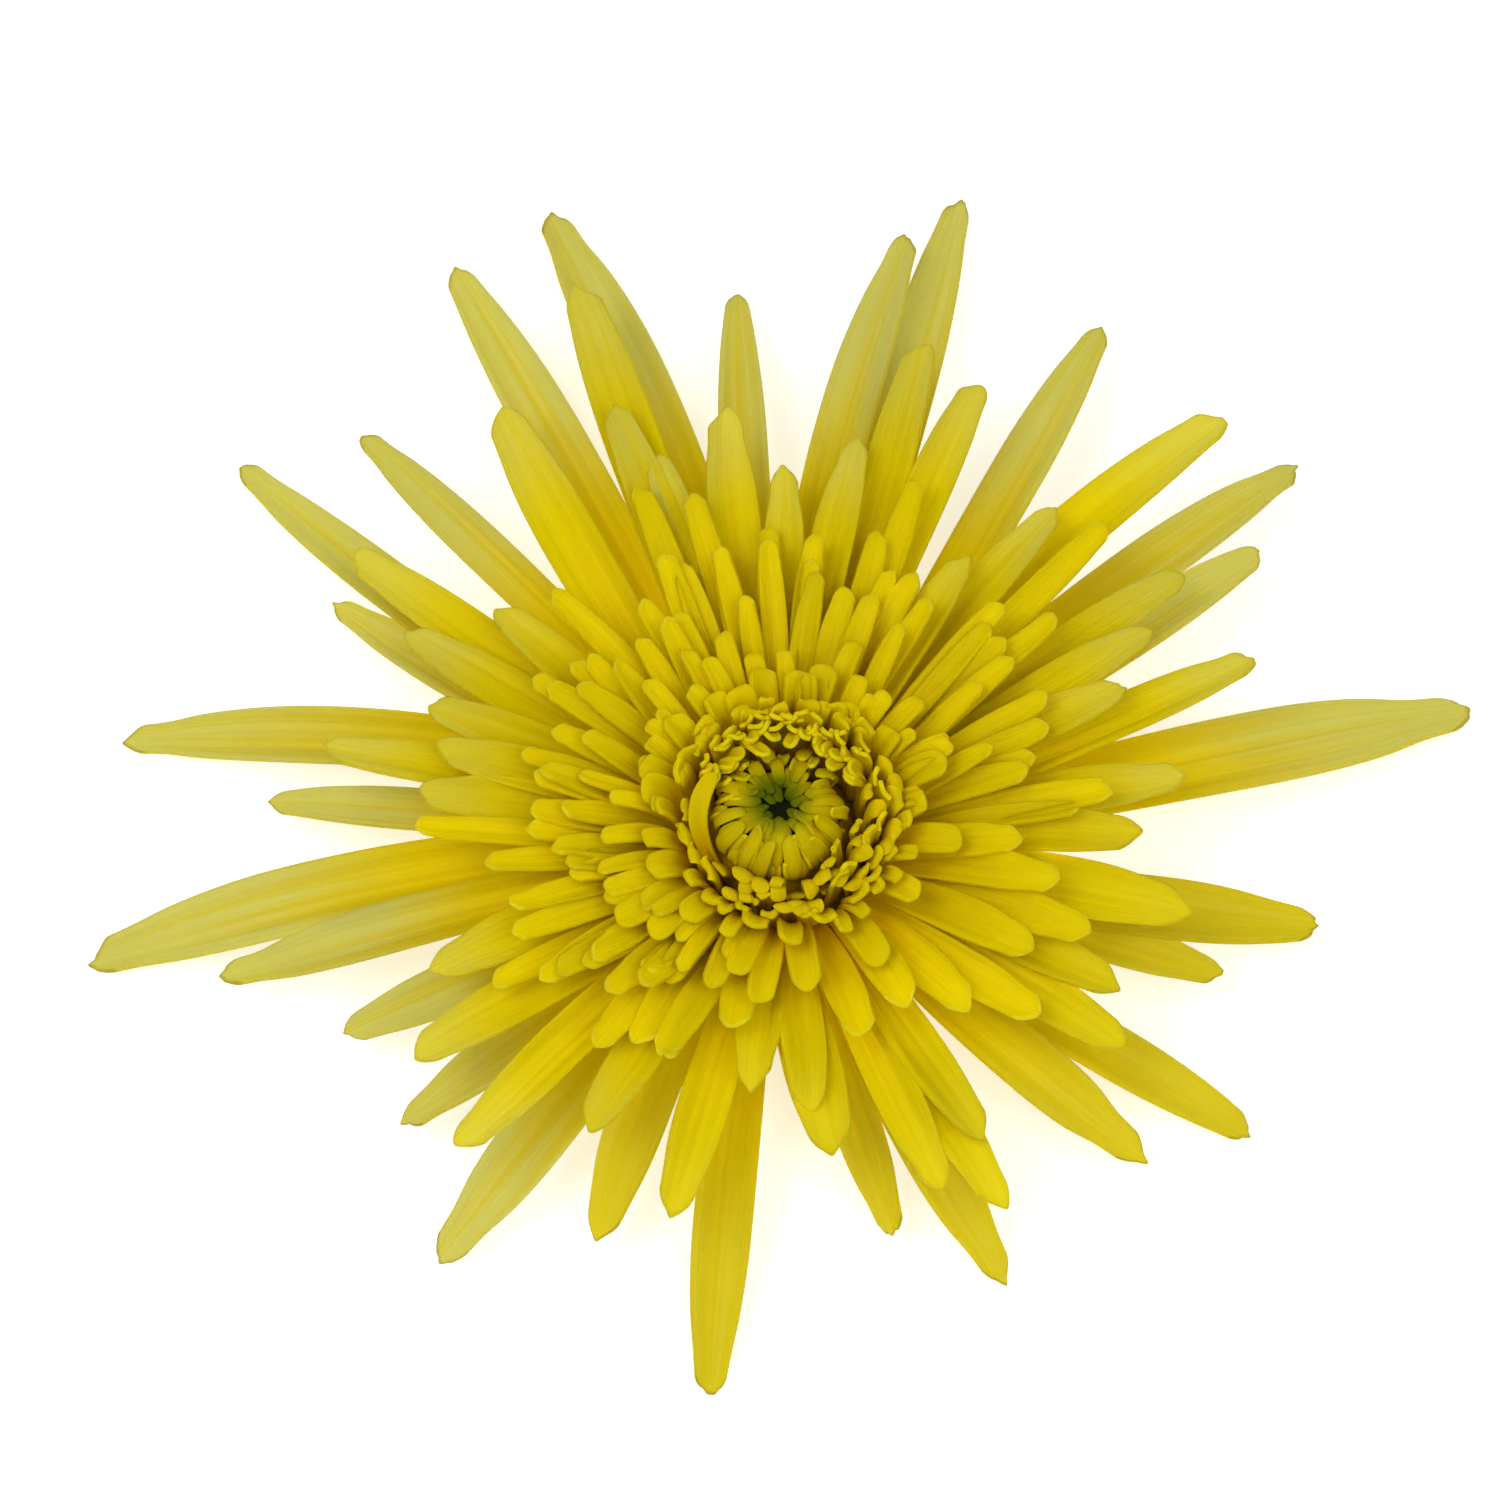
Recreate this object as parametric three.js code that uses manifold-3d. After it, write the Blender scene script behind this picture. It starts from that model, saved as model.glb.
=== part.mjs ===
// One cut bloom of a yellow spider chrysanthemum, face up, in millimetres with +Z up.
// The origin is on the surface that the bloom rests on, in the middle of the ground it covers.
// Long straps with raised edges grow from a domed receptacle in whorls that rise towards the
// middle, where short blunt florets still curl in over a small hollow.

import * as THREE from "three";
import { mergeVertices } from "three/addons/utils/BufferGeometryUtils.js";
import Module from "manifold-3d";

const wasm = await Module();
wasm.setup();

// Driving dimensions.
const BLOOM_AXIS = { x: 0, y: -10 };       // the stem's axis in the part's frame

// The turned pieces, as [radius, height] points from the axis out and back to it.
const STEM = [[0, 0], [2.7, 0], [2.9, 5], [0, 5]];
const CUP = [[0, 5.3], [3.3, 5.3], [6.2, 7], [8.1, 9.4], [8.4, 11.2], [0, 11.2]];
const RECEPTACLE = [[0, 11.5], [8.6, 11.5], [9.2, 13.6], [8.4, 16.2], [0, 16.2]];

// Rows of bracts on the cup: how many, [radius, height] of their roots and tips, and their width.
const BRACT_ROWS = [
  { count: 12, root: [5.6, 7.2], tip: [9.2, 11.4], width: 4 },
  { count: 12, root: [4.2, 6.4], tip: [8.7, 9.4], width: 3.4 },
  { count: 9, root: [2.8, 6.1], tip: [6.6, 7], width: 2.8 },
];
const BRACT_THICKNESS = 0.9;

// The rays of the lowest whorl: direction in degrees, reach from the axis, height of the tip,
// width, and how far the middle swings to the left of a straight ray.
const LOWEST_RAYS = [
  [15.8, 65.5, 0, 7.8, -1.2], [35, 53.5, 8, 4.8, -1], [40, 62, 6, 5.2, 0], [61.2, 61.5, 5, 5, -1],
  [76.3, 69.5, 2, 5.4, 0], [79.5, 63, 8, 5.2, 2.2], [94.3, 58.5, 3, 4.4, 0.8],
  [108, 71, 0, 6.4, -1.6], [117, 68, 3, 5.6, 0.4], [132, 58, 5, 4.2, 0.5], [141, 64.5, 2, 4.8, 2],
  [148, 48.5, 6, 4.4, 1.6], [166.5, 62, 1, 5.4, -2.8], [171.5, 47.5, 5, 4.2, 0.5],
  [186, 63.5, 0, 6.4, -1.6], [191, 51.5, 5, 5, 0], [201, 42.5, 5, 4.8, 0.8],
  [214, 41.5, 4, 4.8, 1], [228.8, 47, 2, 5.8, 0], [244, 38, 5, 5.4, -1], [262, 48, 0, 5.3, -1],
  [286, 35, 4, 4.3, -0.8], [298, 42, 2, 5.2, -1.6], [320, 41.5, 5, 5.4, -1.2],
  [331, 48, 1, 5.2, -1.4], [346, 40.5, 6, 4.6, -0.8], [354.8, 48.5, 3, 6, -1.8],
];

// The rays that lie over them.
const UPPER_RAYS = [
  [21.5, 45.5, 16, 4.2, -1], [46, 58, 13, 5.2, 2], [75, 50, 15, 4.4, 0], [68, 47.5, 16, 4.2, 0.5],
  [98, 41, 17, 4.8, 0.5], [109, 58, 13, 5.2, 0.5], [122, 49, 15, 5.4, 1.6], [111, 44, 17, 4.2, 0],
  [145, 48, 15, 4.4, 0.6], [151, 39, 17, 4.4, 0.5], [169, 42, 16, 4.2, -0.5],
  [203, 34, 18, 4.5, -0.5], [212, 39, 16, 4.6, 0.5], [225, 41, 16, 4.4, 0], [254, 37, 17, 4.6, 0],
  [299, 39.5, 16, 4.4, -0.5], [348, 36.5, 18, 5.2, 0], [358, 31.5, 19, 4.4, 0.5],
  [333, 33, 18, 4.5, 0], [278, 31, 19, 5.2, -1], [301, 33.5, 18, 4.2, -0.5],
  [326, 36, 17, 4.4, 0], [8, 36, 17, 4.2, 0], [35, 44, 16, 4, 0],
  [30, 38, 18, 4, -0.5], [51.5, 39.5, 17, 4, 0.5], [57, 30, 20, 3.8, 0], [174, 33, 18, 4.2, 0],
  [167, 32, 19, 4, 0], [160, 34, 18, 4, 0], [142, 33, 19, 4, 0.5], [108, 38, 17, 4, 0],
  [263, 25, 20, 4.2, 0], [90, 34, 19, 3.8, 0], [80, 38, 18, 4, 0.5], [293, 36, 17, 4.2, -0.5],
  [23, 33, 19, 4, 0], [274, 27, 20, 4, 0], [238, 33, 18, 4.4, 0],
];

// The middle rays: direction and reach. Height and width follow from the reach.
const MIDDLE_RAYS = [
  [105, 32], [103, 26], [93, 28], [112, 35], [123, 24], [114, 27], [84, 27], [73, 29], [70, 35],
  [45, 41], [121, 21], [83, 23], [69, 22], [140, 23], [147, 22], [150, 26], [160, 22], [170, 22],
  [180, 20], [189, 27], [200, 26], [194, 20], [219, 22], [216, 25], [227, 23], [238, 25],
  [232, 27], [244, 25], [257, 21], [46, 28], [36, 25], [20, 25], [38, 31], [5, 29], [345, 25],
  [338, 29], [330, 25], [320, 29], [300, 21], [312, 24], [288, 22], [210, 30], [181, 33],
  [134, 30], [57, 24], [10, 22], [353, 21],
];

// How the whorls differ: how far a ray arches over the straight line to its tip, how steeply its
// edges rise, its greatest twist in radians, how much it narrows towards the tip, and how many
// steps it is built in.
const LOWEST = { arch: 5, channel: 0.3, twist: 0.25, taper: 0.66, steps: 5 };
const UPPER = { arch: 3, channel: 0.34, twist: 0.3, taper: 0.52, steps: 4 };
const MIDDLE = { arch: 2, channel: 0.36, twist: 0.3, taper: 0.42, steps: 4 };
const INNER = { channel: 0.4, twist: 0.5, taper: 0.15, steps: 3 };
const CURLED = { channel: 0.4, twist: 0.5, taper: -0.25, steps: 3 };
const SPLAYED = { channel: 0.35, twist: 0.7, taper: -0.2, steps: 3 };
const WRAPPED = { channel: 0.3, twist: 0.1, taper: 0.3, steps: 4 };
const CLOSED = { channel: -0.5, twist: 0.2, taper: 0.45, steps: 3 };
const MIDDLE_SIZES = { reach: [20, 40], width: [3.7, 4.4], sweep: 0.5 };

// Florets stand higher towards the middle.
const SLOPE = { top: 26.5, reach: 8, fall: 0.27, uneven: 0.8 };

// The short florets round the middle: direction, reach and width.
const INNER_FLORETS = [
  // the broad ones behind and to the left
  [141, 13.5, 2.7], [134, 11, 2.4], [123, 12.5, 2.6], [112, 12, 2.9], [151, 10.2, 2.5],
  [164, 10.2, 2.3], [164, 13.5, 2.5], [172, 13, 3], [182, 11.5, 1.8], [193, 13, 1.8],
  [205, 13.5, 2.6], [99, 13.5, 2.6], [86, 12.5, 2.6], [74, 14, 2.7],
  // in front
  [229, 13.9, 2.5], [226, 17, 2.6], [236, 19, 2.8], [250, 15, 2.5], [248, 18, 2.3],
  [254, 16.5, 2.5], [256, 11.8, 2.5], [262, 18.5, 2.7], [271, 13.2, 2.4], [277, 17, 2.8],
  [288, 11.6, 2.5], [300, 17, 2.9], [215, 18.5, 2.8],
  // to the right
  [309, 10.8, 2.4], [325, 14.4, 2.7], [320, 10.6, 2], [350, 16, 2.8], [2, 12.5, 2.1],
  [16, 15, 2.8], [36, 12, 2.7], [46, 10.5, 2.3], [57, 11, 2.6], [64, 10.3, 2],
  // the narrow ones between them
  [99, 10.2, 1.5], [282, 10.6, 1.8], [262, 10.4, 1.6], [248, 10.4, 1.4], [241, 11.4, 1.3],
  [233, 11.2, 1.8], [219, 11.2, 1.6], [294, 13, 1.5], [305, 12.4, 1.5], [316, 11.6, 1.5],
  [326, 12.2, 1.4], [338, 12.5, 1.6], [334, 10.4, 1.5], [352, 11.2, 1.6],
];
const INNER_SIZES = {
  reach: [9.5, 19], rootRadius: [8.3, 8.3], rootHeight: [14.5, 14],
  bendRadius: [9.9, 10.8], bendHeight: [25, 22.5],
};
const INNER_DROP = 1.2;                     // how much lower their tips lie than longer florets'

// The crowded florets on the bud's shoulder, which have only just opened: direction, reach, height
// of the tip, width, and how many degrees their roots lie to the left of it. Behind the bud and
// beside it they curl in over it.
const CURLED_FLORETS = [
  [116, 3.6, 27.4, 1.4, 8], [87, 4.1, 27.3, 1.3, -6], [54, 4.5, 27, 1.3, 10],
  [102, 5, 27, 1.5, 0], [134, 5.1, 26.8, 1.5, 12], [147, 5.3, 26.6, 1.5, 8],
  [43, 5.2, 26.8, 1.5, -8], [73, 5.4, 27, 1.3, 6], [23, 5.5, 26.4, 1.6, -10],
  [119, 5.8, 26.8, 1.4, -4], [36, 4.3, 26.8, 1.2, 8],
  // a row further out
  [96, 6.2, 26.8, 1.4, 6], [83, 6, 26.6, 1.4, 0], [61, 6.8, 26.6, 1.4, -6],
  [50, 7.2, 26.4, 1.6, 4], [38, 6.3, 26, 1.5, 6], [155, 6.4, 26.3, 1.5, 10],
  [111, 7, 26.7, 1.6, 0], [137, 7.2, 26.5, 1.6, -4], [89, 7.5, 26.8, 1.4, 4],
  [70, 8, 26.6, 1.4, 0], [80, 8, 26.9, 1.4, -4], [127, 8, 26.6, 1.5, 5],
  [139, 8.3, 26.4, 1.5, 6], [35, 7.8, 26, 1.7, -6], [14, 8.2, 25.5, 2.3, 0],
  // low ones in front, in the shade of the others
  [222, 8.2, 22.6, 1.7, 0], [276, 8.2, 22.4, 1.7, 0], [298, 8.4, 22.8, 1.7, 0],
];
const CURLED_SIZES = {
  reach: [3.5, 8.4], rootRadius: [6.3, 6.3], rootHeight: [17, 17],
  bendRadius: [8.4, 7.4], bendHeight: [25.5, 23],
};

// In front of the bud and to its right they arch outward.
const SPLAYED_FLORETS = [
  [240, 8.8, 25.7, 1.8, 4], [247, 9.3, 24.3, 1.2, -3], [255, 9, 25.1, 1.5, -4],
  [263, 8.3, 25.5, 1, 3], [266, 9.3, 24.2, 1.4, 0], [286, 9.2, 24.6, 1.4, 0],
  [292, 8.6, 25.6, 1.8, 5], [301, 7.4, 26, 1.4, 0], [305, 9.3, 24.5, 2, -5],
  [313, 6.4, 26.5, 1.3, 4], [323, 9.1, 24.8, 1.9, 0], [329, 7.9, 25.6, 1.5, -4],
  [337, 6.9, 26, 1.6, 5], [354, 8.9, 25.2, 1.5, 0], [4, 7.6, 25.8, 1.6, 5],
];
const SPLAYED_SIZES = {
  reach: [6.4, 9.2], rootRadius: [7, 7], rootHeight: [17, 17],
  bendRadius: [6, 6.8], bendHeight: [27.6, 28],
};

// One floret wraps round the bud's left side: [direction, radius, height] of its root, of the
// point that it bends towards and of its tip.
const WRAPPED_FLORET = {
  root: [222, 7, 17.2], bend: [195, 10.1, 27.4], tip: [160, 6.6, 26.3], facing: 90, width: 1.7,
};

const RAY_THICKNESS = 0.8;                  // at the middle of a ray's width
const SHORT_THICKNESS = 0.9;
const SHORT_SWING = 4;                      // degrees that a short floret's bend strays at most
const RAY_MIDDLE = 0.4;                     // share of the way out at which a ray's middle lies
const WIDEST_AT = 0.7;                      // share of a floret's length
const ROOT_WIDTH = 0.5;                     // share of its greatest width
const TIP_LENGTH = 1.4;                     // of its round end, to half its width there

// Where the rays grow from the receptacle, as [radius, height], for the shortest and the longest.
const ROOTS = { reach: [8, 50], inner: [8, 15], outer: [8, 12.8] };

// The closed bud in the middle. Its incurved florets lie on a round dome in three layers: how deep
// the layer lies, how many degrees it tilts to the front, where the bud opens, and each floret's
// bearing, where it starts and ends in degrees down from the dome's top, and its width.
const BUD = { radius: 6.5, base: 16.5, middle: 21 };
const BUD_OFFSET = new THREE.Vector3(-0.5, -0.5, 0);      // from the bloom's axis
const BUD_LAYERS = [
  {
    depth: 0, tilt: 0,
    florets: [
      [208, 104, 36, 1.6], [186, 98, 31, 1.4], [232, 102, 27, 1.5], [253, 104, 33, 1.4],
      [283, 104, 30, 1.6], [306, 100, 24, 1.4], [338, 100, 30, 1.5], [8, 96, 26, 1.4],
      [158, 98, 33, 1.4], [134, 98, 46, 1.5], [102, 98, 46, 1.5], [73, 98, 48, 1.5],
      [42, 98, 48, 1.5],
    ],
  },
  {
    depth: 0.6, tilt: 3,
    florets: [
      [197, 100, 38, 1.6], [295, 102, 36, 1.5], [322, 96, 25, 1.5], [354, 84, 16, 1.4],
      [26, 90, 24, 1.4], [171, 83, 17, 1.4], [146, 84, 20, 1.3], [119, 88, 24, 1.4],
      [92, 84, 20, 1.3], [60, 88, 24, 1.4], [268, 90, 20, 1.5], [243, 90, 34, 1.4],
      [219, 98, 40, 1.4],
    ],
  },
  {
    depth: 1.2, tilt: 6,
    florets: [
      [204, 62, 8, 1.2], [238, 60, 14, 1.2], [263, 61, 7, 1.1], [176, 57, 12, 1.2],
      [316, 58, 13, 1.1], [98, 56, 7, 1.1], [60, 54, 13, 1.1], [134, 58, 8, 1.1],
      [22, 56, 12, 1.1], [346, 54, 7, 1], [288, 54, 11, 1.1],
    ],
  },
];
const BUD_FLORET = { thickness: 1, rootDepth: 1.8, tipDepth: 0.8, swing: 6, uneven: 0.4 };
const BUD_CORE = { seat: 6.9, shoulder: 1.6, depth: 1.6, hollow: 3.4, flank: [90, 70, 50, 30, 14] };

// The room that the bud and the crowded florets stand in, kept free of the others.
const BUD_ROOM = [[0, 16.2], [8, 16.2], [8.2, 19], [8.7, 22.5], [9.8, 24.5], [9.8, 30], [0, 30]];
const SMALLEST_EDGE = 0.01;                 // joins leave no edge shorter than this

const COLOURS = { ray: 0xd2bb0a, disc: 0xa99a08, green: 0x6f8a34, stem: 0x7c9a45 };

// Repeatable draws.
let seed = 7;
function draw() {
  seed = (seed * 48271) % 2147483647;
  return seed / 2147483647;
}

function spread(amount) {
  return amount * (2 * draw() - 1);
}

function times(count, make) {
  return Array.from({ length: count }, (_, index) => make(index));
}

function mix(a, b, share) {
  return a + (b - a) * share;
}

function onAxis(degrees, radius, height) {
  const angle = THREE.MathUtils.degToRad(degrees);
  return new THREE.Vector3(radius * Math.cos(angle), radius * Math.sin(angle), height);
}

function bearingOf(point) {
  return THREE.MathUtils.radToDeg(Math.atan2(point.y, point.x));
}

// Turns a three.js geometry into a solid that can be joined and cut.
function solidOf(geometry) {
  geometry.deleteAttribute("normal");
  geometry.deleteAttribute("uv");
  const merged = mergeVertices(geometry, 1e-4);
  return new wasm.Manifold(new wasm.Mesh({
    numProp: 3,
    vertProperties: new Float32Array(merged.attributes.position.array),
    triVerts: new Uint32Array(merged.index.array),
    tolerance: SMALLEST_EDGE,
  }));
}

function geometryOf(solid) {
  const mesh = solid.getMesh();
  const geometry = new THREE.BufferGeometry();
  geometry.setAttribute("position", new THREE.BufferAttribute(mesh.vertProperties, 3));
  geometry.setIndex(new THREE.BufferAttribute(mesh.triVerts, 1));
  geometry.computeVertexNormals();
  return geometry;
}

// Joins solids in halves, so that each join is between two of like size.
function joined(solids) {
  if (solids.length === 1) {
    return solids[0];
  }
  const middle = Math.ceil(solids.length / 2);
  return joined(solids.slice(0, middle)).add(joined(solids.slice(middle)));
}

// The main body of a solid: sealed hollows are filled, and loose scraps are dropped.
function mainBody(solid) {
  const bodies = solid.decompose();
  return bodies.reduce((best, body) => (body.volume() > best.volume() ? body : best));
}

function turned(outline, sides) {
  const points = outline.map(([radius, height]) => new THREE.Vector2(radius, height));
  return new THREE.LatheGeometry(points, sides).rotateX(Math.PI / 2);
}

// The share of its greatest width that a floret has at a share of its length. It widens from the
// root, narrows again by its taper, and is rounded off over the length of its cap.
function widthShare(along, taper, cap) {
  if (along < WIDEST_AT) {
    return mix(ROOT_WIDTH, 1, Math.sin((along / WIDEST_AT) * (Math.PI / 2)));
  }
  const past = (along - WIDEST_AT) / (1 - WIDEST_AT);
  const round = THREE.MathUtils.clamp(1 - (1 - along) / cap, 0, 1);
  return (1 - taper * past * past) * Math.sqrt(1 - round * round);
}

// A blade is a four-sided cone bent along its line, with its steps closer together towards the
// tip. Its section is a shallow channel: two edges, raised above a middle of the full thickness.
function blade(line, { facing, width, channel, thickness, twist, taper, steps }) {
  const geometry = new THREE.ConeGeometry(1, 1, 4, steps);
  const place = geometry.attributes.position;
  const level = onAxis(facing + 90, 1, 0);
  const cap = (TIP_LENGTH * (width / 2) * (1 - taper)) / line.getLength();
  for (let i = 0; i < place.count; i += 1) {
    const left = 0.5 - place.getY(i);
    const along = 1 - left * left;
    const across = left > 0 ? -place.getX(i) / left : 0;
    const over = left > 0 ? place.getZ(i) / left : 0;
    const half = (width / 2) * widthShare(along, taper, cap);
    const forward = line.getTangent(along);
    const top = forward.clone().cross(level).normalize().applyAxisAngle(forward, twist * along);
    const side = top.clone().cross(forward);
    const point = line.getPoint(along);
    point.addScaledVector(side, across * half);
    point.addScaledVector(top, (over * thickness) / 2 + Math.abs(across) * channel * half);
    place.setXYZ(i, point.x, point.y, point.z);
  }
  return solidOf(geometry);
}

// A ray's middle line: out of the receptacle, up over an arch and on to its tip.
function rayLine({ direction, reach, height, sweep, arch }) {
  const outward = THREE.MathUtils.clamp(THREE.MathUtils.inverseLerp(...ROOTS.reach, reach), 0, 1);
  const rootRadius = mix(ROOTS.inner[0], ROOTS.outer[0], outward);
  const rootHeight = mix(ROOTS.inner[1], ROOTS.outer[1], outward);
  const middle = onAxis(
    direction,
    mix(rootRadius, reach, RAY_MIDDLE),
    mix(rootHeight, height, RAY_MIDDLE),
  );
  middle.z += arch;
  middle.add(onAxis(direction + 90, 2 * sweep, 0));
  return new THREE.QuadraticBezierCurve3(
    onAxis(bearingOf(middle), rootRadius, rootHeight),
    middle,
    onAxis(direction, reach, height),
  );
}

function ray(whorl, { direction, reach, height, width, sweep }) {
  const { arch, channel, taper, steps } = whorl;
  const line = rayLine({ direction, reach, height, sweep, arch });
  const twist = spread(whorl.twist);
  return blade(line, {
    facing: direction, width, channel, thickness: RAY_THICKNESS, twist, taper, steps,
  });
}

function outerRay(whorl, [direction, reach, height, width, sweep]) {
  return ray(whorl, { direction, reach, height, width, sweep });
}

function heightAt(reach) {
  return SLOPE.top - SLOPE.fall * (reach - SLOPE.reach) + spread(SLOPE.uneven);
}

function middleRay([direction, reach]) {
  const width = mix(...MIDDLE_SIZES.width, THREE.MathUtils.inverseLerp(...MIDDLE_SIZES.reach, reach));
  const height = heightAt(reach);
  return ray(MIDDLE, { direction, reach, height, width, sweep: spread(MIDDLE_SIZES.sweep) });
}

// A short floret stands up from its root, bends outward or in, and ends at its reach and height.
function shortFloret(whorl, sizes, { direction, reach, height, width, swing }) {
  const share = THREE.MathUtils.inverseLerp(...sizes.reach, reach);
  const size = (name) => mix(...sizes[name], share);
  const bend = direction + 0.6 * swing + spread(SHORT_SWING);
  const line = new THREE.QuadraticBezierCurve3(
    onAxis(direction + swing, size("rootRadius"), size("rootHeight")),
    onAxis(bend, size("bendRadius"), size("bendHeight")),
    onAxis(direction, reach, height),
  );
  return shortBlade(whorl, line, direction, width);
}

function shortBlade(whorl, line, facing, width) {
  const { channel, taper, steps } = whorl;
  const twist = spread(whorl.twist);
  return blade(line, { facing, width, channel, thickness: SHORT_THICKNESS, twist, taper, steps });
}

function innerFloret([direction, reach, width]) {
  const height = heightAt(reach) - INNER_DROP;
  return shortFloret(INNER, INNER_SIZES, { direction, reach, height, width, swing: 0 });
}

function crowdedFloret(whorl, sizes, [direction, reach, height, width, swing]) {
  return shortFloret(whorl, sizes, { direction, reach, height, width, swing });
}

function wrappedFloret({ root, bend, tip, facing, width }) {
  const line = new THREE.QuadraticBezierCurve3(onAxis(...root), onAxis(...bend), onAxis(...tip));
  return shortBlade(WRAPPED, line, facing, width);
}

// The bud's dome as a [radius, height] from its middle, at an angle down from its top and a height
// over it.
function domeOutline(down, over) {
  const angle = THREE.MathUtils.degToRad(down);
  const radius = BUD.radius + over;
  return [radius * Math.sin(angle), radius * Math.cos(angle)];
}

function onDome(tilt, bearing, down, over) {
  const place = onAxis(bearing, ...domeOutline(down, over));
  place.applyAxisAngle(new THREE.Vector3(1, 0, 0), THREE.MathUtils.degToRad(tilt));
  place.z += BUD.middle;
  return place.add(BUD_OFFSET);
}

function rayFlorets() {
  const whole = joined([
    solidOf(turned(RECEPTACLE, 24)),
    ...LOWEST_RAYS.map((values) => outerRay(LOWEST, values)),
    ...UPPER_RAYS.map((values) => outerRay(UPPER, values)),
    ...MIDDLE_RAYS.map(middleRay),
    ...INNER_FLORETS.map(innerFloret),
  ]);
  return mainBody(whole.subtract(solidOf(turned(BUD_ROOM, 32))));
}

// A floret of the bud rises from the core, bulges to its layer's depth halfway and bends in again.
function budFloret({ depth, tilt }, [bearing, from, to, width]) {
  const { thickness, rootDepth, tipDepth, swing, uneven } = BUD_FLORET;
  const tipUnder = depth + tipDepth * draw();
  const chord = BUD.radius - (rootDepth + tipUnder) / 2;
  const halfSpan = THREE.MathUtils.degToRad((from - to) / 2);
  const bulge = BUD.radius - 2 * depth - chord * Math.cos(halfSpan);
  const line = new THREE.QuadraticBezierCurve3(
    onDome(tilt, bearing, from, -rootDepth),
    onDome(tilt, bearing + spread(swing), (from + to) / 2, bulge + spread(uneven)),
    onDome(tilt, bearing + spread(swing), to, -tipUnder),
  );
  const { channel, taper, steps } = CLOSED;
  const twist = spread(CLOSED.twist);
  return blade(line, { facing: bearing + 180, width, channel, thickness, twist, taper, steps });
}

// The core carries the bud's florets, and the crowded ones on a rim round its foot.
function budCore() {
  const { seat, shoulder, depth, hollow, flank } = BUD_CORE;
  const foot = [[0, BUD.base], [seat, BUD.base], [seat, BUD.base + shoulder]];
  const dome = [...flank.map((down) => domeOutline(down, -depth)), [0, BUD.radius - hollow]];
  const outline = [...foot, ...dome.map(([radius, height]) => [radius, BUD.middle + height])];
  return solidOf(turned(outline, 20).translate(...BUD_OFFSET));
}

function discFlorets() {
  return mainBody(joined([
    budCore(),
    ...BUD_LAYERS.flatMap((layer) => layer.florets.map((values) => budFloret(layer, values))),
    ...CURLED_FLORETS.map((values) => crowdedFloret(CURLED, CURLED_SIZES, values)),
    ...SPLAYED_FLORETS.map((values) => crowdedFloret(SPLAYED, SPLAYED_SIZES, values)),
    wrappedFloret(WRAPPED_FLORET),
  ]));
}

function involucre() {
  const bracts = BRACT_ROWS.flatMap((row, level) => times(row.count, (index) => {
    const { count, root, tip, width } = row;
    const bearing = ((index + 0.5 * (level % 2)) * 360) / count;
    const middle = onAxis(bearing, mix(root[0], tip[0], 0.7), mix(root[1], tip[1], 0.3));
    const line = new THREE.QuadraticBezierCurve3(
      onAxis(bearing, ...root),
      middle,
      onAxis(bearing, ...tip),
    );
    return blade(line, {
      facing: bearing, width, channel: 0.25, thickness: BRACT_THICKNESS, twist: 0, taper: 0.6,
      steps: 3,
    });
  }));
  return mainBody(joined([solidOf(turned(CUP, 24)), ...bracts]));
}

function piece(name, geometry, color) {
  const material = new THREE.MeshStandardMaterial({ color, roughness: 0.6, metalness: 0 });
  const mesh = new THREE.Mesh(geometry, material);
  mesh.name = name;
  return mesh;
}

const bloom = new THREE.Group();
bloom.position.set(BLOOM_AXIS.x, BLOOM_AXIS.y, 0);
bloom.add(piece("stem", turned(STEM, 24), COLOURS.stem));
bloom.add(piece("involucre", geometryOf(involucre()), COLOURS.green));
bloom.add(piece("ray_florets", geometryOf(rayFlorets()), COLOURS.ray));
bloom.add(piece("disc_florets", geometryOf(discFlorets()), COLOURS.disc));

const part = new THREE.Group();
part.add(bloom);

export default part;
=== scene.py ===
import math
from typing import NamedTuple

import bmesh
import bpy
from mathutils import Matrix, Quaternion, Vector


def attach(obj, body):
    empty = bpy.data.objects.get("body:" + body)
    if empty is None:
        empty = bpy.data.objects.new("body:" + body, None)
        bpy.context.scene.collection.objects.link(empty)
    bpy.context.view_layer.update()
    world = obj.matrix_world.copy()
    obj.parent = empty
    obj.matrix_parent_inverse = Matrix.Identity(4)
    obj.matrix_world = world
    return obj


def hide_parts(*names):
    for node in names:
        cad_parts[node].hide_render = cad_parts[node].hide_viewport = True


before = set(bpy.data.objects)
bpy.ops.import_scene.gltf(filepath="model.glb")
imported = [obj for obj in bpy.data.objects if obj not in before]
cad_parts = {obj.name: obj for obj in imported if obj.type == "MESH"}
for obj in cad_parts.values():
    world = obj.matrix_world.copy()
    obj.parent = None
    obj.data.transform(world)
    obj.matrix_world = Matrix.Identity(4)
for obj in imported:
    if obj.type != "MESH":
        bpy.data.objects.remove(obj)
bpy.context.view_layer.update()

# Lengths are in millimetres until a mesh is finished.
MM = 0.001
BLOOM_AXIS = Vector((0, -10, 0))            # the stem's axis in the part's frame

# The florets in front, round this direction, are broader, and their tips stay golden: they get none
# of the painted sheen, the pale haze of lit and backlit petals, which is painted on the florets
# away from the front.
FRONT_SIDE = 300                         # degrees
BROAD_SIDE = {"angles": (30, 90), "widths": (1.3, 0.82)}      # shares, at two angles from there
# Painted sheen: how far from the front side and how far out it starts, and where it is full.
PALE = {"angles": (56, 68), "reaches": (26, 40)}              # where it starts and where it is full

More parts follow.
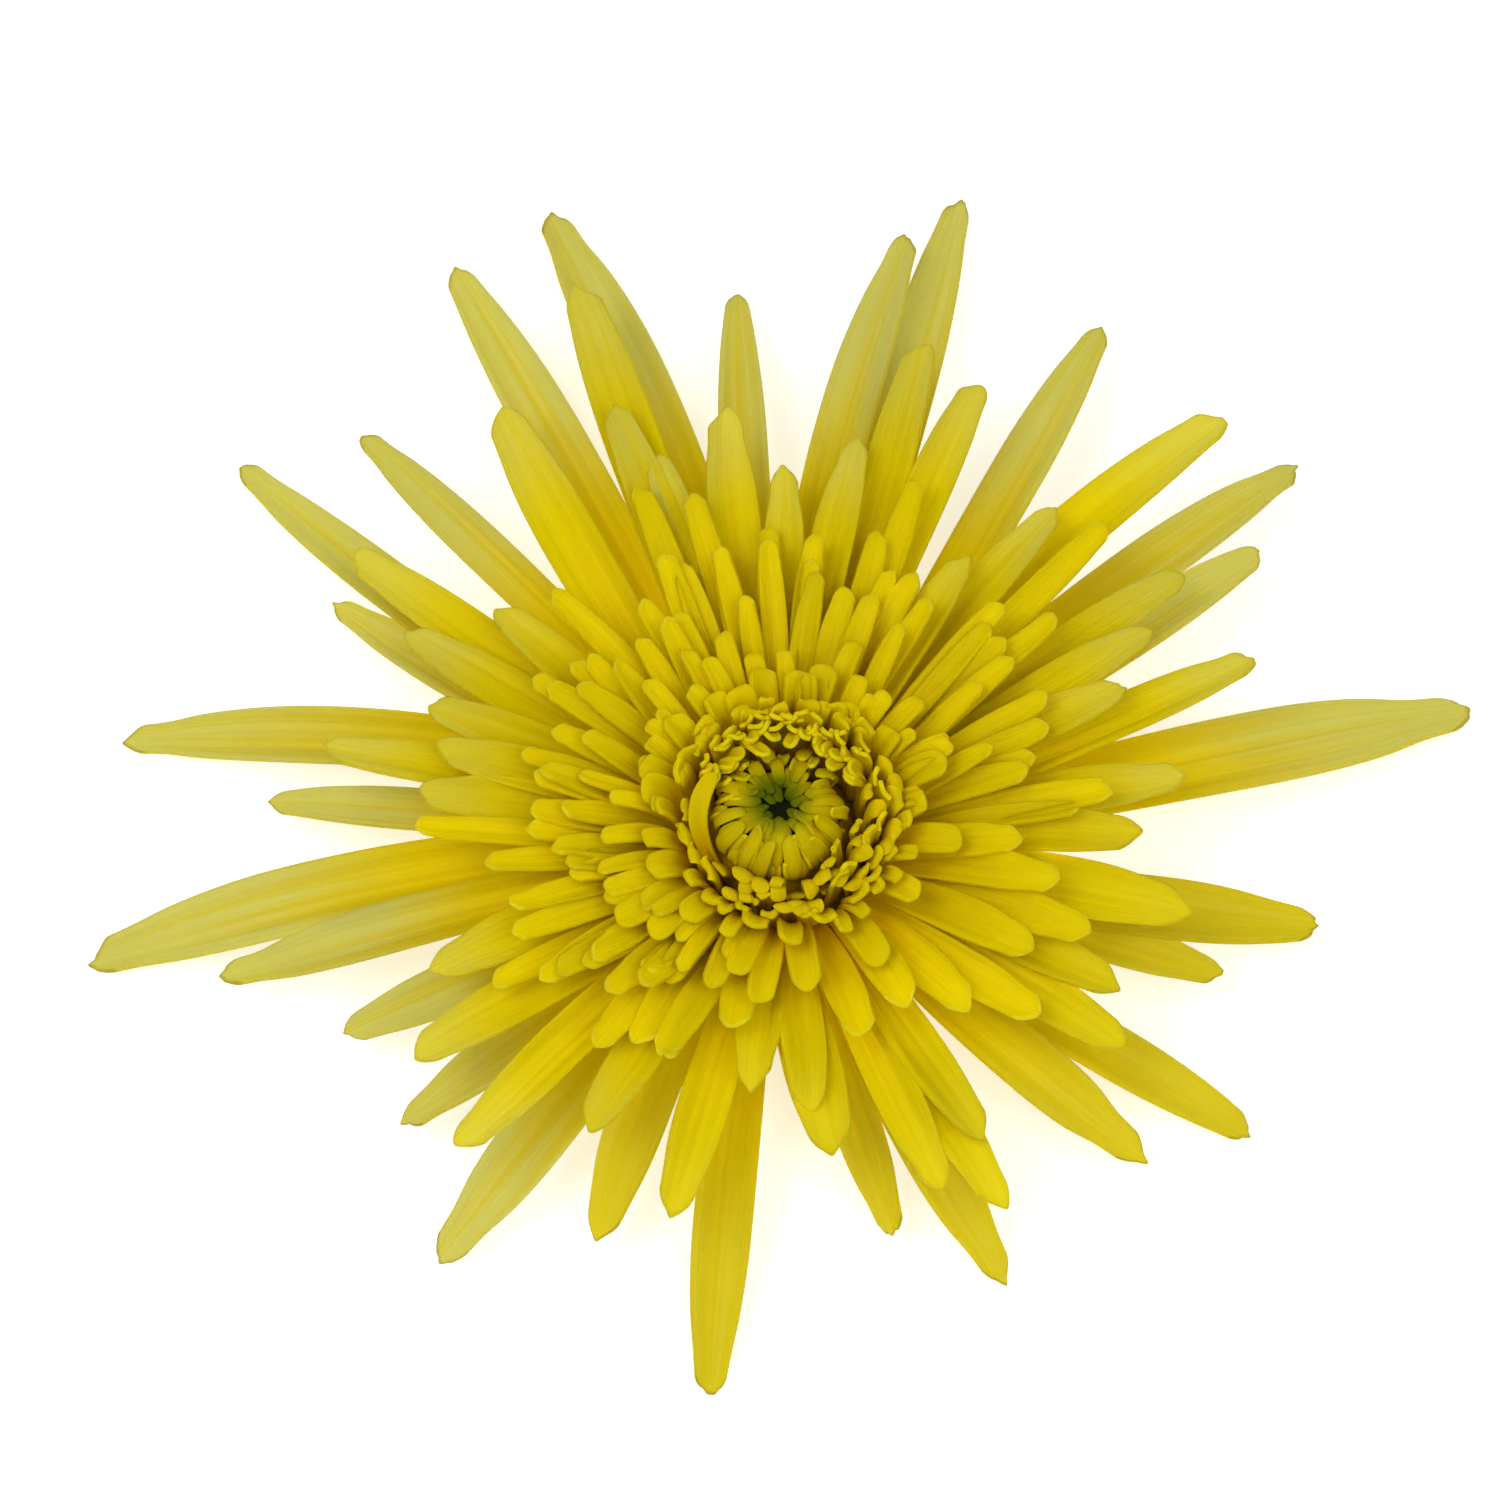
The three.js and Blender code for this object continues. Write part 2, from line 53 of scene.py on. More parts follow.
# The rays of the lowest whorl: direction in degrees, reach from the axis, height of the tip,
# width, and how far the middle swings to the left of a straight ray.
LOWEST_RAYS = [
    (15.8, 65.5, 0, 7.8, -1.2), (35, 53.5, 8, 4.8, -1), (40, 62, 6, 5.2, 0), (61.2, 61.5, 5, 5, -1),
    (76.3, 69.5, 2, 5.4, 0), (79.5, 63, 8, 5.2, 2.2), (94.3, 58.5, 3, 4.4, 0.8),
    (108, 71, 0, 6.4, -1.6), (117, 68, 3, 5.6, 0.4), (132, 58, 5, 4.2, 0.5), (141, 64.5, 2, 4.8, 2),
    (148, 48.5, 6, 4.4, 1.6), (166.5, 62, 1, 5.4, -2.8), (171.5, 47.5, 5, 4.2, 0.5),
    (186, 63.5, 0, 6.4, -1.6), (191, 51.5, 5, 5, 0), (201, 42.5, 5, 4.8, 0.8),
    (214, 41.5, 4, 4.8, 1), (228.8, 47, 2, 5.8, 0), (244, 38, 5, 5.4, -1), (262, 48, 0, 5.3, -1),
    (286, 35, 4, 4.3, -0.8), (298, 42, 2, 5.2, -1.6), (320, 41.5, 5, 5.4, -1.2),
    (331, 48, 1, 5.2, -1.4), (346, 40.5, 6, 4.6, -0.8), (354.8, 48.5, 3, 6, -1.8),
]

# The rays that lie over them.
UPPER_RAYS = [
    (21.5, 45.5, 16, 4.2, -1), (46, 58, 13, 5.2, 2), (75, 50, 15, 4.4, 0), (68, 47.5, 16, 4.2, 0.5),
    (98, 41, 17, 4.8, 0.5), (109, 58, 13, 5.2, 0.5), (122, 49, 15, 5.4, 1.6), (111, 44, 17, 4.2, 0),
    (145, 48, 15, 4.4, 0.6), (151, 39, 17, 4.4, 0.5), (169, 42, 16, 4.2, -0.5),
    (203, 34, 18, 4.5, -0.5), (212, 39, 16, 4.6, 0.5), (225, 41, 16, 4.4, 0), (254, 37, 17, 4.6, 0),
    (299, 39.5, 16, 4.4, -0.5), (348, 36.5, 18, 5.2, 0), (358, 31.5, 19, 4.4, 0.5),
    (333, 33, 18, 4.5, 0), (278, 31, 19, 5.2, -1), (301, 33.5, 18, 4.2, -0.5),
    (326, 36, 17, 4.4, 0), (8, 36, 17, 4.2, 0), (35, 44, 16, 4, 0),
    (30, 38, 18, 4, -0.5), (51.5, 39.5, 17, 4, 0.5), (57, 30, 20, 3.8, 0), (174, 33, 18, 4.2, 0),
    (167, 32, 19, 4, 0), (160, 34, 18, 4, 0), (142, 33, 19, 4, 0.5), (108, 38, 17, 4, 0),
    (263, 25, 20, 4.2, 0), (90, 34, 19, 3.8, 0), (80, 38, 18, 4, 0.5), (293, 36, 17, 4.2, -0.5),
    (23, 33, 19, 4, 0), (274, 27, 20, 4, 0), (238, 33, 18, 4.4, 0),
]

# The middle rays: direction and reach. Height and width follow from the reach.
MIDDLE_RAYS = [
    (105, 32), (103, 26), (93, 28), (112, 35), (123, 24), (114, 27), (84, 27), (73, 29), (70, 35),
    (45, 41), (121, 21), (83, 23), (69, 22), (140, 23), (147, 22), (150, 26), (160, 22), (170, 22),
    (180, 20), (189, 27), (200, 26), (194, 20), (219, 22), (216, 25), (227, 23), (238, 25),
    (232, 27), (244, 25), (257, 21), (46, 28), (36, 25), (20, 25), (38, 31), (5, 29), (345, 25),
    (338, 29), (330, 25), (320, 29), (300, 21), (312, 24), (288, 22), (210, 30), (181, 33),
    (134, 30), (57, 24), (10, 22), (353, 21),
]
MIDDLE_REACHES = (20, 40)
MIDDLE_WIDTHS = (2.8, 3.5)                  # at those reaches
MIDDLE_SWEEP = 0.5                          # the greatest, to either side

# The short florets round the middle: direction, reach and width.
INNER_FLORETS = [
    # the broad ones behind and to the left
    (141, 13.5, 2.7), (134, 11, 2.4), (123, 12.5, 2.6), (112, 12, 2.9), (151, 10.2, 2.5),
    (164, 10.2, 2.3), (164, 13.5, 2.5), (172, 13, 3), (182, 11.5, 1.8), (193, 13, 1.8),
    (205, 13.5, 2.6), (99, 13.5, 2.6), (86, 12.5, 2.6), (74, 14, 2.7),
    # in front
    (229, 13.9, 2.5), (226, 17, 2.6), (236, 19, 2.8), (250, 15, 2.5), (248, 18, 2.3),
    (254, 16.5, 2.5), (256, 11.8, 2.5), (262, 18.5, 2.7), (271, 13.2, 2.4), (277, 17, 2.8),
    (288, 11.6, 2.5), (300, 17, 2.9), (215, 18.5, 2.8),
    # to the right
    (309, 10.8, 2.4), (325, 14.4, 2.7), (320, 10.6, 2), (350, 16, 2.8), (2, 12.5, 2.1),
    (16, 15, 2.8), (36, 12, 2.7), (46, 10.5, 2.3), (57, 11, 2.6), (64, 10.3, 2),
    # the narrow ones between them
    (99, 10.2, 1.5), (282, 10.6, 1.8), (262, 10.4, 1.6), (248, 10.4, 1.4), (241, 11.4, 1.3),
    (233, 11.2, 1.8), (219, 11.2, 1.6), (294, 13, 1.5), (305, 12.4, 1.5), (316, 11.6, 1.5),
    (326, 12.2, 1.4), (338, 12.5, 1.6), (334, 10.4, 1.5), (352, 11.2, 1.6),
]
INNER_SIZES = {
    "reach": (9.5, 19), "root_radius": (8.3, 8.3), "root_height": (14.5, 14),
    "bend_radius": (9.9, 10.8), "bend_height": (25, 22.5),
}
INNER_DROP = 1.2                            # how much lower their tips lie than longer florets'

# Slender ones between them and between the middle rays: over which directions, how many, their
# reach and their width.
BETWEEN_SIDES = (5, 250)
BETWEEN_INNER = (36, (11.5, 19), (1.5, 2.2))
BETWEEN_MIDDLE = (34, (19, 27), (1.9, 2.7))
BETWEEN_UNEVEN = 0.5                        # share of the space between two of them

# The crowded florets on the bud's shoulder, which have only just opened: direction, reach, height
# of the tip, width, and how many degrees their roots lie to the left of it. Behind the bud and
# beside it they curl in over it.
CURLED_FLORETS = [
    (116, 3.6, 27.4, 1.4, 8), (87, 4.1, 27.3, 1.3, -6), (54, 4.5, 27, 1.3, 10),
    (102, 5, 27, 1.5, 0), (134, 5.1, 26.8, 1.5, 12), (147, 5.3, 26.6, 1.5, 8),
    (43, 5.2, 26.8, 1.5, -8), (73, 5.4, 27, 1.3, 6), (23, 5.5, 26.4, 1.6, -10),
    (119, 5.8, 26.8, 1.4, -4), (36, 4.3, 26.8, 1.2, 8),
    # a row further out
    (96, 6.2, 26.8, 1.4, 6), (83, 6, 26.6, 1.4, 0), (61, 6.8, 26.6, 1.4, -6),
    (50, 7.2, 26.4, 1.6, 4), (38, 6.3, 26, 1.5, 6), (155, 6.4, 26.3, 1.5, 10),
    (111, 7, 26.7, 1.6, 0), (137, 7.2, 26.5, 1.6, -4), (89, 7.5, 26.8, 1.4, 4),
    (70, 8, 26.6, 1.4, 0), (80, 8, 26.9, 1.4, -4), (127, 8, 26.6, 1.5, 5),
    (139, 8.3, 26.4, 1.5, 6), (35, 7.8, 26, 1.7, -6), (14, 8.2, 25.5, 2.3, 0),
    # low ones in front, in the shade of the others
    (222, 8.2, 22.6, 1.7, 0), (276, 8.2, 22.4, 1.7, 0), (298, 8.4, 22.8, 1.7, 0),
]
CURLED_SIZES = {
    "reach": (3.5, 8.4), "root_radius": (6.3, 6.3), "root_height": (17, 17),
    "bend_radius": (8.4, 7.4), "bend_height": (25.5, 23),
}

# In front of the bud and to its right they arch outward.
SPLAYED_FLORETS = [
    (240, 8.8, 25.7, 1.8, 4), (247, 9.3, 24.3, 1.2, -3), (255, 9, 25.1, 1.5, -4),
    (263, 8.3, 25.5, 1, 3), (266, 9.3, 24.2, 1.4, 0), (286, 9.2, 24.6, 1.4, 0),
    (292, 8.6, 25.6, 1.8, 5), (301, 7.4, 26, 1.4, 0), (305, 9.3, 24.5, 2, -5),
    (313, 6.4, 26.5, 1.3, 4), (323, 9.1, 24.8, 1.9, 0), (329, 7.9, 25.6, 1.5, -4),
    (337, 6.9, 26, 1.6, 5), (354, 8.9, 25.2, 1.5, 0), (4, 7.6, 25.8, 1.6, 5),
]
SPLAYED_SIZES = {
    "reach": (6.4, 9.2), "root_radius": (7, 7), "root_height": (17, 17),
    "bend_radius": (6, 6.8), "bend_height": (27.6, 28),
}

# Small ones fill the crowd: rows of them behind the bud, and fewer in front and at the sides.
# How many, over which directions, their reach, the height of their tips and their width.
SMALL_FIELDS = [
    (18, (5, 178), (8.8, 10.8), (24.8, 23.8), (1.7, 2.4)),
    (28, (12, 170), (4.8, 8.4), (26.6, 25.6), (1.2, 1.9)),
    (6, (-52, 10), (7, 8.8), (26.6, 26), (1.8, 2.4)),
    (5, (182, 232), (9, 10.6), (24, 23.6), (2, 2.5)),
    (7, (240, 300), (8.8, 10.6), (25, 24), (1.3, 1.9)),
    (5, (308, 360), (9.6, 11), (24.4, 24), (2, 2.5)),
]
SMALL_SIZES = {
    "reach": (4.6, 10.4), "root_radius": (6, 8.6), "root_height": (17, 16.5),
    "bend_radius": (8, 8.6), "bend_height": (25, 26.5),
}
SMALL_SWING = 8                             # degrees
SMALL_UNEVEN = {"place": 0.6, "height": 0.4}      # share of the space between two of them, mm

# One floret wraps round the bud's left side: (direction, radius, height) of its root, of the point
# that it bends towards and of its tip.
WRAPPED_FLORET = {
    "root": (222, 7, 17.2), "bend": (195, 10.1, 27.4), "tip": (160, 6.6, 26.3), "facing": 90,
    "width": 1.7,
}

# The closed bud in the middle. Its incurved florets lie on a round dome in three layers: how deep
# the layer lies, how many degrees it tilts to the front, where the bud opens, and each floret's
# bearing, where it starts and ends in degrees down from the dome's top, and its width.
BUD = {"radius": 6.5, "base": 16.5, "middle": 21}
BUD_OFFSET = Vector((-0.5, -0.5, 0))
BUD_LAYERS = [
    (0, 0, [
        (208, 104, 36, 1.6), (186, 98, 31, 1.4), (232, 102, 27, 1.5), (253, 104, 33, 1.4),
        (283, 104, 30, 1.6), (306, 100, 24, 1.4), (338, 100, 30, 1.5), (8, 96, 26, 1.4),
        (158, 98, 33, 1.4), (134, 98, 46, 1.5), (102, 98, 46, 1.5), (73, 98, 48, 1.5),
        (42, 98, 48, 1.5),
    ]),
    (0.6, 3, [
        (197, 100, 38, 1.6), (295, 102, 36, 1.5), (322, 96, 25, 1.5), (354, 84, 16, 1.4),
        (26, 90, 24, 1.4), (171, 83, 17, 1.4), (146, 84, 20, 1.3), (119, 88, 24, 1.4),
        (92, 84, 20, 1.3), (60, 88, 24, 1.4), (268, 90, 20, 1.5), (243, 90, 34, 1.4),
        (219, 98, 40, 1.4),
    ]),
    (1.2, 6, [
        (204, 62, 8, 1.2), (238, 60, 14, 1.2), (263, 61, 7, 1.1), (176, 57, 12, 1.2),
        (316, 58, 13, 1.1), (98, 56, 7, 1.1), (60, 54, 13, 1.1), (134, 58, 8, 1.1),
        (22, 56, 12, 1.1), (346, 54, 7, 1), (288, 54, 11, 1.1),
    ]),
]
BUD_FLORET = {"root_depth": 1.8, "tip_depth": 0.8, "sway": 6, "uneven": 0.4}
BUD_SLIMNESS = {"outside": 0.84, "less_each_mm": 0.12}        # shares of the widths above

# Slender ones fill the bud between the others: how many, how deep they lie, where they start and
# end in degrees down from the dome's top, and their width.
SLENDER_FLORETS = [
    (24, (0.1, 1), (92, 84), (34, 60), (0.9, 1.3)),
    (24, (0.5, 1.6), (66, 50), (10, 32), (0.7, 1.1)),
]
SLENDER_TILT = 4
SLENDER_UNEVEN = 0.3                        # share of the space between two of them

# The core under them: the seat and the shoulder of its rim, how deep it lies, how deep its hollow
# is, and the angles of its round side, in degrees down from the top.
BUD_CORE = {"seat": 6.9, "shoulder": 1.6, "depth": 1.6, "hollow": 3.4}
BUD_CORE_SIDE = (90, 70, 50, 30, 14)

# The green round the hollow on top: its centre, how far from there it reaches, how near it is full,
# and its colour. Painted shade in the hollow: the core darkens to nearly black between two heights.
GREEN = {"centre": Vector((-0.3, 0.2, 26.5)), "reach": 4.2, "full": 1.2, "colour": (0.1, 0.13, 0)}
HOLLOW_SHADE = {"heights": (21, 24), "colour": (0.012, 0.016, 0.001)}

# Rows of bracts on the cup: how many, (radius, height) of their roots and tips, and their width.
BRACT_ROWS = [
    (12, (5.6, 7.2), (9.2, 11.4), 4),
    (12, (4.2, 6.4), (8.7, 9.4), 3.4),
    (9, (2.8, 6.1), (6.6, 7), 2.8),
]
BRACT_BEND = {"outward": 0.7, "upward": 0.3}      # shares of the way from a root to its tip

# The turned pieces, as (radius, height) points from the axis out and back to it.
CUP = [(0, 5.3), (3.3, 5.3), (6.2, 7), (8.1, 9.4), (8.4, 11.2), (0, 11.2)]
RECEPTACLE = [(0, 11.5), (8.6, 11.5), (9.2, 13.6), (8.4, 16.2), (0, 16.2)]

# Where rays root in the receptacle: at one radius, and at a height for each of two reaches.
ROOTS = {"radius": 8, "reaches": (8, 50), "heights": (15, 12.8)}
ARCH_AT = 0.4                               # share of the way from a ray's root to its tip

# How high the tips of the middle and the inner florets lie: the height at one reach, how much it
# falls with each further millimetre, and how uneven it is.
SLOPE = {"top": 26.5, "reach": 8, "fall": 0.27, "uneven": 0.8}
BEND_SWING = 0.6                            # how much of a root's swing the bend has
BEND_UNEVEN = 4                             # degrees

# The blade of a floret. Places across it count from -1 at one edge to 1 at the other.
WIDEST_AT = 0.7                             # share of its length
ROOT_WIDTH = 0.5                            # share of its greatest width
EDGE = {"curve": 1.6, "lean": 0.4}          # how late the edges rise, how unlike they may be
GROOVE = {"width": 0.16, "place": 0.3}      # how far from the middle the main one may lie
LEAST_FOLD = 0.4                            # the shallowest grooves, as a share of the whorl's fold
BULGES = 2.5                                # how many half waves reach from the middle to an edge
WAVES = {"ripple": 9, "drift": 4}           # radians from root to tip
NECK = {"from_tip": 1.3, "narrowness": 3}   # in half widths
TIP_BENDS_AT = 0.88                         # share of its length
TIP_BLUNTNESS = (0.48, 0.62)                # from round to nearly pointed
TIP_SKEW = 0.4
NOTCHES = {"count": 3, "place": 0.6}        # how far from the middle they may shift
NUB = {"height": 0.5 / 0.15, "width": 0.25}     # the small point on a necked tip
TIP_CROWDING = 1.6                          # how much closer its cross lines lie at the tip

BROAD_LINES = 2.2                           # how many broad streaks lie side by side

# Thicknesses.
PETAL_SKIN = 0.45
STOUT_PETAL_SKIN = 0.5
BRACT_SKIN = 0.6
ON_GROUND = 0.6                             # a blade's middle over the surface, in thicknesses
SMOOTHING = 1


class Whorl(NamedTuple):
    """How the florets of a whorl are shaped."""

    channel: float                          # how steeply the edges rise, or fall on round backs
    twist: float                            # the greatest, in radians
    taper: float                            # how much they narrow towards the tip
    tip: float                              # length of the round end, to half its width there
    wave: float                             # how far the edges wander up and down
    hook: float                             # how far a tip bends up or down
    teeth: float                            # depth of the notches in the tip
    columns: int
    rows: int
    arch: float = 0                         # over the straight line from root to tip
    fold: float = 0                         # depth of the grooves along them
    neck: float = 0                         # how much they narrow just before the tip


LOWEST = Whorl(
    channel=0.3, twist=0.25, taper=0.62, tip=1.6, wave=0.5, hook=0.9, teeth=0.8,
    columns=12, rows=22, arch=5, fold=0.26, neck=0.15,
)
UPPER = Whorl(
    channel=0.34, twist=0.3, taper=0.46, tip=1.4, wave=0.4, hook=0.8, teeth=0.7,
    columns=10, rows=18, arch=3, fold=0.22, neck=0.12,
)
MIDDLE = Whorl(
    channel=0.36, twist=0.3, taper=0.34, tip=1.1, wave=0.25, hook=0.7, teeth=0.6,
    columns=8, rows=14, arch=2, fold=0.16, neck=0.1,
)
INNER = Whorl(
    channel=0.4, twist=0.5, taper=0.15, tip=1.1, wave=0.15, hook=0.4, teeth=0.9,
    columns=6, rows=10, fold=0.08,
)
CURLED = Whorl(
    channel=-0.35, twist=0.5, taper=-0.05, tip=1.4, wave=0.15, hook=0.3, teeth=0.8,
    columns=6, rows=10,
)
SPLAYED = Whorl(
    channel=-0.3, twist=0.6, taper=-0.05, tip=1.6, wave=0.15, hook=0.4, teeth=0.8,
    columns=6, rows=12,
)
WRAPPED = Whorl(
    channel=0.3, twist=0.1, taper=0.3, tip=1.2, wave=0.1, hook=0.1, teeth=0.4,
    columns=6, rows=12,
)
SMALL = Whorl(
    channel=-0.35, twist=0.6, taper=-0.05, tip=1.5, wave=0.15, hook=0.3, teeth=0.7,
    columns=6, rows=8,
)
CLOSED = Whorl(
    channel=-0.5, twist=0.5, taper=0.3, tip=1.3, wave=0.2, hook=0.8, teeth=0.9,
    columns=6, rows=9,
)
SLENDER = Whorl(
    channel=0.3, twist=0.7, taper=0.3, tip=1, wave=0.2, hook=0.8, teeth=0.7,
    columns=4, rows=8,
)
BRACT = Whorl(
    channel=0.25, twist=0, taper=0.6, tip=1.4, wave=0.1, hook=0.2, teeth=0,
    columns=4, rows=8,
)


class Draws:
    """Repeatable draws."""

    FACTOR = 48271
    LIMIT = 2147483647

    def __init__(self, seed):
        self.seed = seed

    def share(self):
        """A number from 0 to 1."""
        self.seed = self.seed * self.FACTOR % self.LIMIT
        return self.seed / self.LIMIT

    def spread(self, amount):
        """A number up to that amount, on either side of 0."""
        return amount * (2 * self.share() - 1)


form = Draws(7)                             # places and twists, in the order of the solids
looks = Draws(29)                           # what only the finer pieces have


def mix(a, b, share):
    return a + (b - a) * share


def clamp(value):
    return max(0.0, min(1.0, value))


def share_of(value, low, high):
    """How far a value has come from the low one to the high one."""
    return (value - low) / (high - low)


def on_axis(degrees, radius, height):
    """A place round the bloom's upright axis."""
    angle = math.radians(degrees)
    return Vector((radius * math.cos(angle), radius * math.sin(angle), height))


def bearing_of(point):
    return math.degrees(math.atan2(point.y, point.x))


class Line:
    """A smooth bend from a root to a tip, drawn towards a point between them."""

    def __init__(self, root, bend, tip):
        self.root, self.bend, self.tip = root, bend, tip

    def point(self, t):
        return self.root * (1 - t) ** 2 + self.bend * (2 * t * (1 - t)) + self.tip * t * t

    def forward(self, t):
        return ((self.bend - self.root) * (1 - t) + (self.tip - self.bend) * t).normalized()

    def length(self, steps=20):
        points = [self.point(step / steps) for step in range(steps + 1)]
        return sum((b - a).length for a, b in zip(points, points[1:]))


def ray_line(direction, reach, height, sweep, arch):
    """A ray's middle line: out of the receptacle, up over an arch and on to its tip."""
    root_height = mix(*ROOTS["heights"], clamp(share_of(reach, *ROOTS["reaches"])))
    middle = on_axis(
        direction, mix(ROOTS["radius"], reach, ARCH_AT), mix(root_height, height, ARCH_AT) + arch
    )
    # A line swings half as far as the point that it bends towards.
    middle += on_axis(direction + 90, 2 * sweep, 0)
    root = on_axis(bearing_of(middle), ROOTS["radius"], root_height)
    return Line(root, middle, on_axis(direction, reach, height))


def height_at(reach):
    """How high the tip of a middle or an inner floret lies."""
    return SLOPE["top"] - SLOPE["fall"] * (reach - SLOPE["reach"]) + form.spread(SLOPE["uneven"])


# ---------------------------------------------------------------- florets


def width_share(t, taper):
    """The share of its greatest width that a floret has at a share of its length."""
    if t < WIDEST_AT:
        return mix(ROOT_WIDTH, 1, math.sin(t / WIDEST_AT * math.pi / 2))
    past = share_of(t, WIDEST_AT, 1)
    return 1 - taper * past * past


class Floret:
    """One blade: its line, its size and the small irregularities of its own."""

    def __init__(self, whorl, line, facing, width):
        self.whorl = whorl
        self.line = line
        self.level = on_axis(facing + 90, 1, 0)             # runs across the blade
        self.half = width / 2
        self.twist = form.spread(whorl.twist)
        self.length = line.length()
        # The round end's share of the length.
        self.cap = whorl.tip * self.half * (1 - whorl.taper) / self.length
        self.wave = looks.spread(whorl.wave)
        self.phase = math.tau * looks.share()
        self.fold = whorl.fold * (LEAST_FOLD + looks.share())
        self.groove_at = looks.spread(GROOVE["place"])
        self.lean = 1 + looks.spread(EDGE["lean"])
        self.hook = looks.spread(whorl.hook)
        self.neck = whorl.neck * looks.share()
        self.notch = whorl.teeth * looks.share()
        self.notch_at = looks.spread(NOTCHES["place"])
        self.bluntness = mix(*TIP_BLUNTNESS, looks.share())
        self.skew = looks.spread(TIP_SKEW)
        self.nub = NUB["height"] * whorl.neck * looks.share()

    def end(self, across):
        """Where the round tip ends at a place across the blade, with its small notches."""
        across -= self.skew * (1 - across * across)
        inside = max(1 - across * across, 0)
        turn = NOTCHES["count"] * math.pi * (across - self.notch_at)
        notch = self.notch * (0.5 - 0.5 * math.cos(turn))
        nub = self.nub * math.exp(-((across / NUB["width"]) ** 2))
        return 1 - self.cap * (1 - inside ** self.bluntness + 0.5 * notch * inside - nub)

    def half_width(self, t):
        """Half the blade's width at a share of its length, with a neck just before the tip."""
        from_tip = (1 - t) * self.length / self.half
        narrow = math.exp(-(from_tip - NECK["from_tip"]) ** 2 * NECK["narrowness"])
        return self.half * width_share(t, self.whorl.taper) * (1 - self.neck * narrow)

    def lift(self, across, t, half):
        """The blade's height over its line: raised edges, soft grooves, waves and a bent tip."""
        lean = self.lean if across > 0 else 1
        rim = abs(across) ** EDGE["curve"] * self.whorl.channel * half * lean
        # Grooves and bulges fade out at both ends.
        depth = self.fold * half * math.sin(math.pi * clamp(t * 1.04) ** 0.8)
        groove = depth * math.exp(-((across - self.groove_at) / GROOVE["width"]) ** 2)
        bulge = 0.5 * depth * math.cos(BULGES * math.pi * across)
        turn = WAVES["ripple"] * t + self.phase + 2 * across
        ripple = 0.4 * self.wave * t * abs(across) * math.sin(turn)
        bent = self.hook * clamp(share_of(t, TIP_BENDS_AT, 1)) ** 2
        return rim - groove + bulge + ripple + bent

    def point(self, across, along):
        """The place of the blade's surface at a share across it, from -1 to 1, and along it."""
        t = along * self.end(across)
        forward = self.line.forward(t)
        top = forward.cross(self.level).normalized()
        top.rotate(Quaternion(forward, self.twist * t))
        side = top.cross(forward)
        half = self.half_width(t)
        drift = 0.5 * self.wave * t * math.sin(WAVES["drift"] * t + self.phase)
        place = self.line.point(t) + side * (across * half + drift)
        return place + top * self.lift(across, t, half)


def new_bmesh():
    """Each floret has a tint of its own, how much painted sheen its colour gets and the place of
    its main groove.
    """
    bm = bmesh.new()
    bm.loops.layers.uv.new("UVMap")
    bm.verts.layers.float.new("tint")
    bm.verts.layers.float.new("painted_sheen")
    bm.verts.layers.float.new("crease")
    return bm


def add_floret(bm, floret, painted_sheen=0.0):
    """Bends a flat grid into the floret, its lines closer together at the tip and the edges."""
    whorl = floret.whorl
    tint = bm.verts.layers.float["tint"]
    pale = bm.verts.layers.float["painted_sheen"]
    crease = bm.verts.layers.float["crease"]
    grid = bmesh.ops.create_grid(
        bm, x_segments=whorl.columns, y_segments=whorl.rows, size=0.5, calc_uvs=True
    )
    value = looks.share()
    # Where the groove lies across the flat grid, whose lines aren't crowded yet.
    flat_groove = -2 / math.pi * math.asin(floret.groove_at)
    for vert in grid["verts"]:
        vert[tint] = value
        # How much painted sheen, the pale haze of lit and backlit petals, this floret's colour
        # gets.
        vert[pale] = painted_sheen
        vert[crease] = flat_groove
        across = -math.sin(math.pi * vert.co.x)
        along = 1 - (0.5 - vert.co.y) ** TIP_CROWDING
        vert.co = floret.point(across, along)


def finish(name, bm, thickness, material, replaced):
    """Makes the mesh an object in its place, gives it a skin and hands it to the frame."""
    for vert in bm.verts:
        vert.co = (vert.co + BLOOM_AXIS) * MM
        vert.co.z = max(vert.co.z, thickness * MM * ON_GROUND)
    mesh = bpy.data.meshes.new(name)
    bm.to_mesh(mesh)
    bm.free()
    for polygon in mesh.polygons:
        polygon.use_smooth = True
    piece = bpy.data.objects.new(name, mesh)
    bpy.context.collection.objects.link(piece)
    mesh.materials.append(material)
    if thickness:
        skin = piece.modifiers.new("thickness", "SOLIDIFY")
        skin.thickness = thickness * MM
        skin.offset = 0
    smooth = piece.modifiers.new("smooth", "SUBSURF")
    smooth.levels = SMOOTHING
    smooth.render_levels = SMOOTHING
    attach(piece, "root")
    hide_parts(replaced)


# ---------------------------------------------------------------- materials


def new_group(name, inputs, outputs):
    group = bpy.data.node_groups.new(name, "ShaderNodeTree")
    for label, kind, value in inputs:
        socket = group.interface.new_socket(label, in_out="INPUT", socket_type=kind)
        socket.default_value = value
    for label, kind in outputs:
        group.interface.new_socket(label, in_out="OUTPUT", socket_type=kind)
    start = group.nodes.new("NodeGroupInput")
    end = group.nodes.new("NodeGroupOutput")
    return group, start, end


def add_node(tree, kind, **values):
    node = tree.nodes.new(kind)
    for key, value in values.items():
        setattr(node, key, value)
    return node


def plug(tree, value, socket):
    """Links a socket to another, or sets its value."""
    if isinstance(value, bpy.types.NodeSocket):
        tree.links.new(value, socket)
    elif isinstance(value, tuple) and len(value) == 3 and socket.type == "RGBA":
        socket.default_value = (*value, 1)
    else:
        socket.default_value = value


def calc(tree, operation, *values):
    node = add_node(tree, "ShaderNodeMath", operation=operation)
    for socket, value in zip(node.inputs, values):
        plug(tree, value, socket)
    return node.outputs[0]


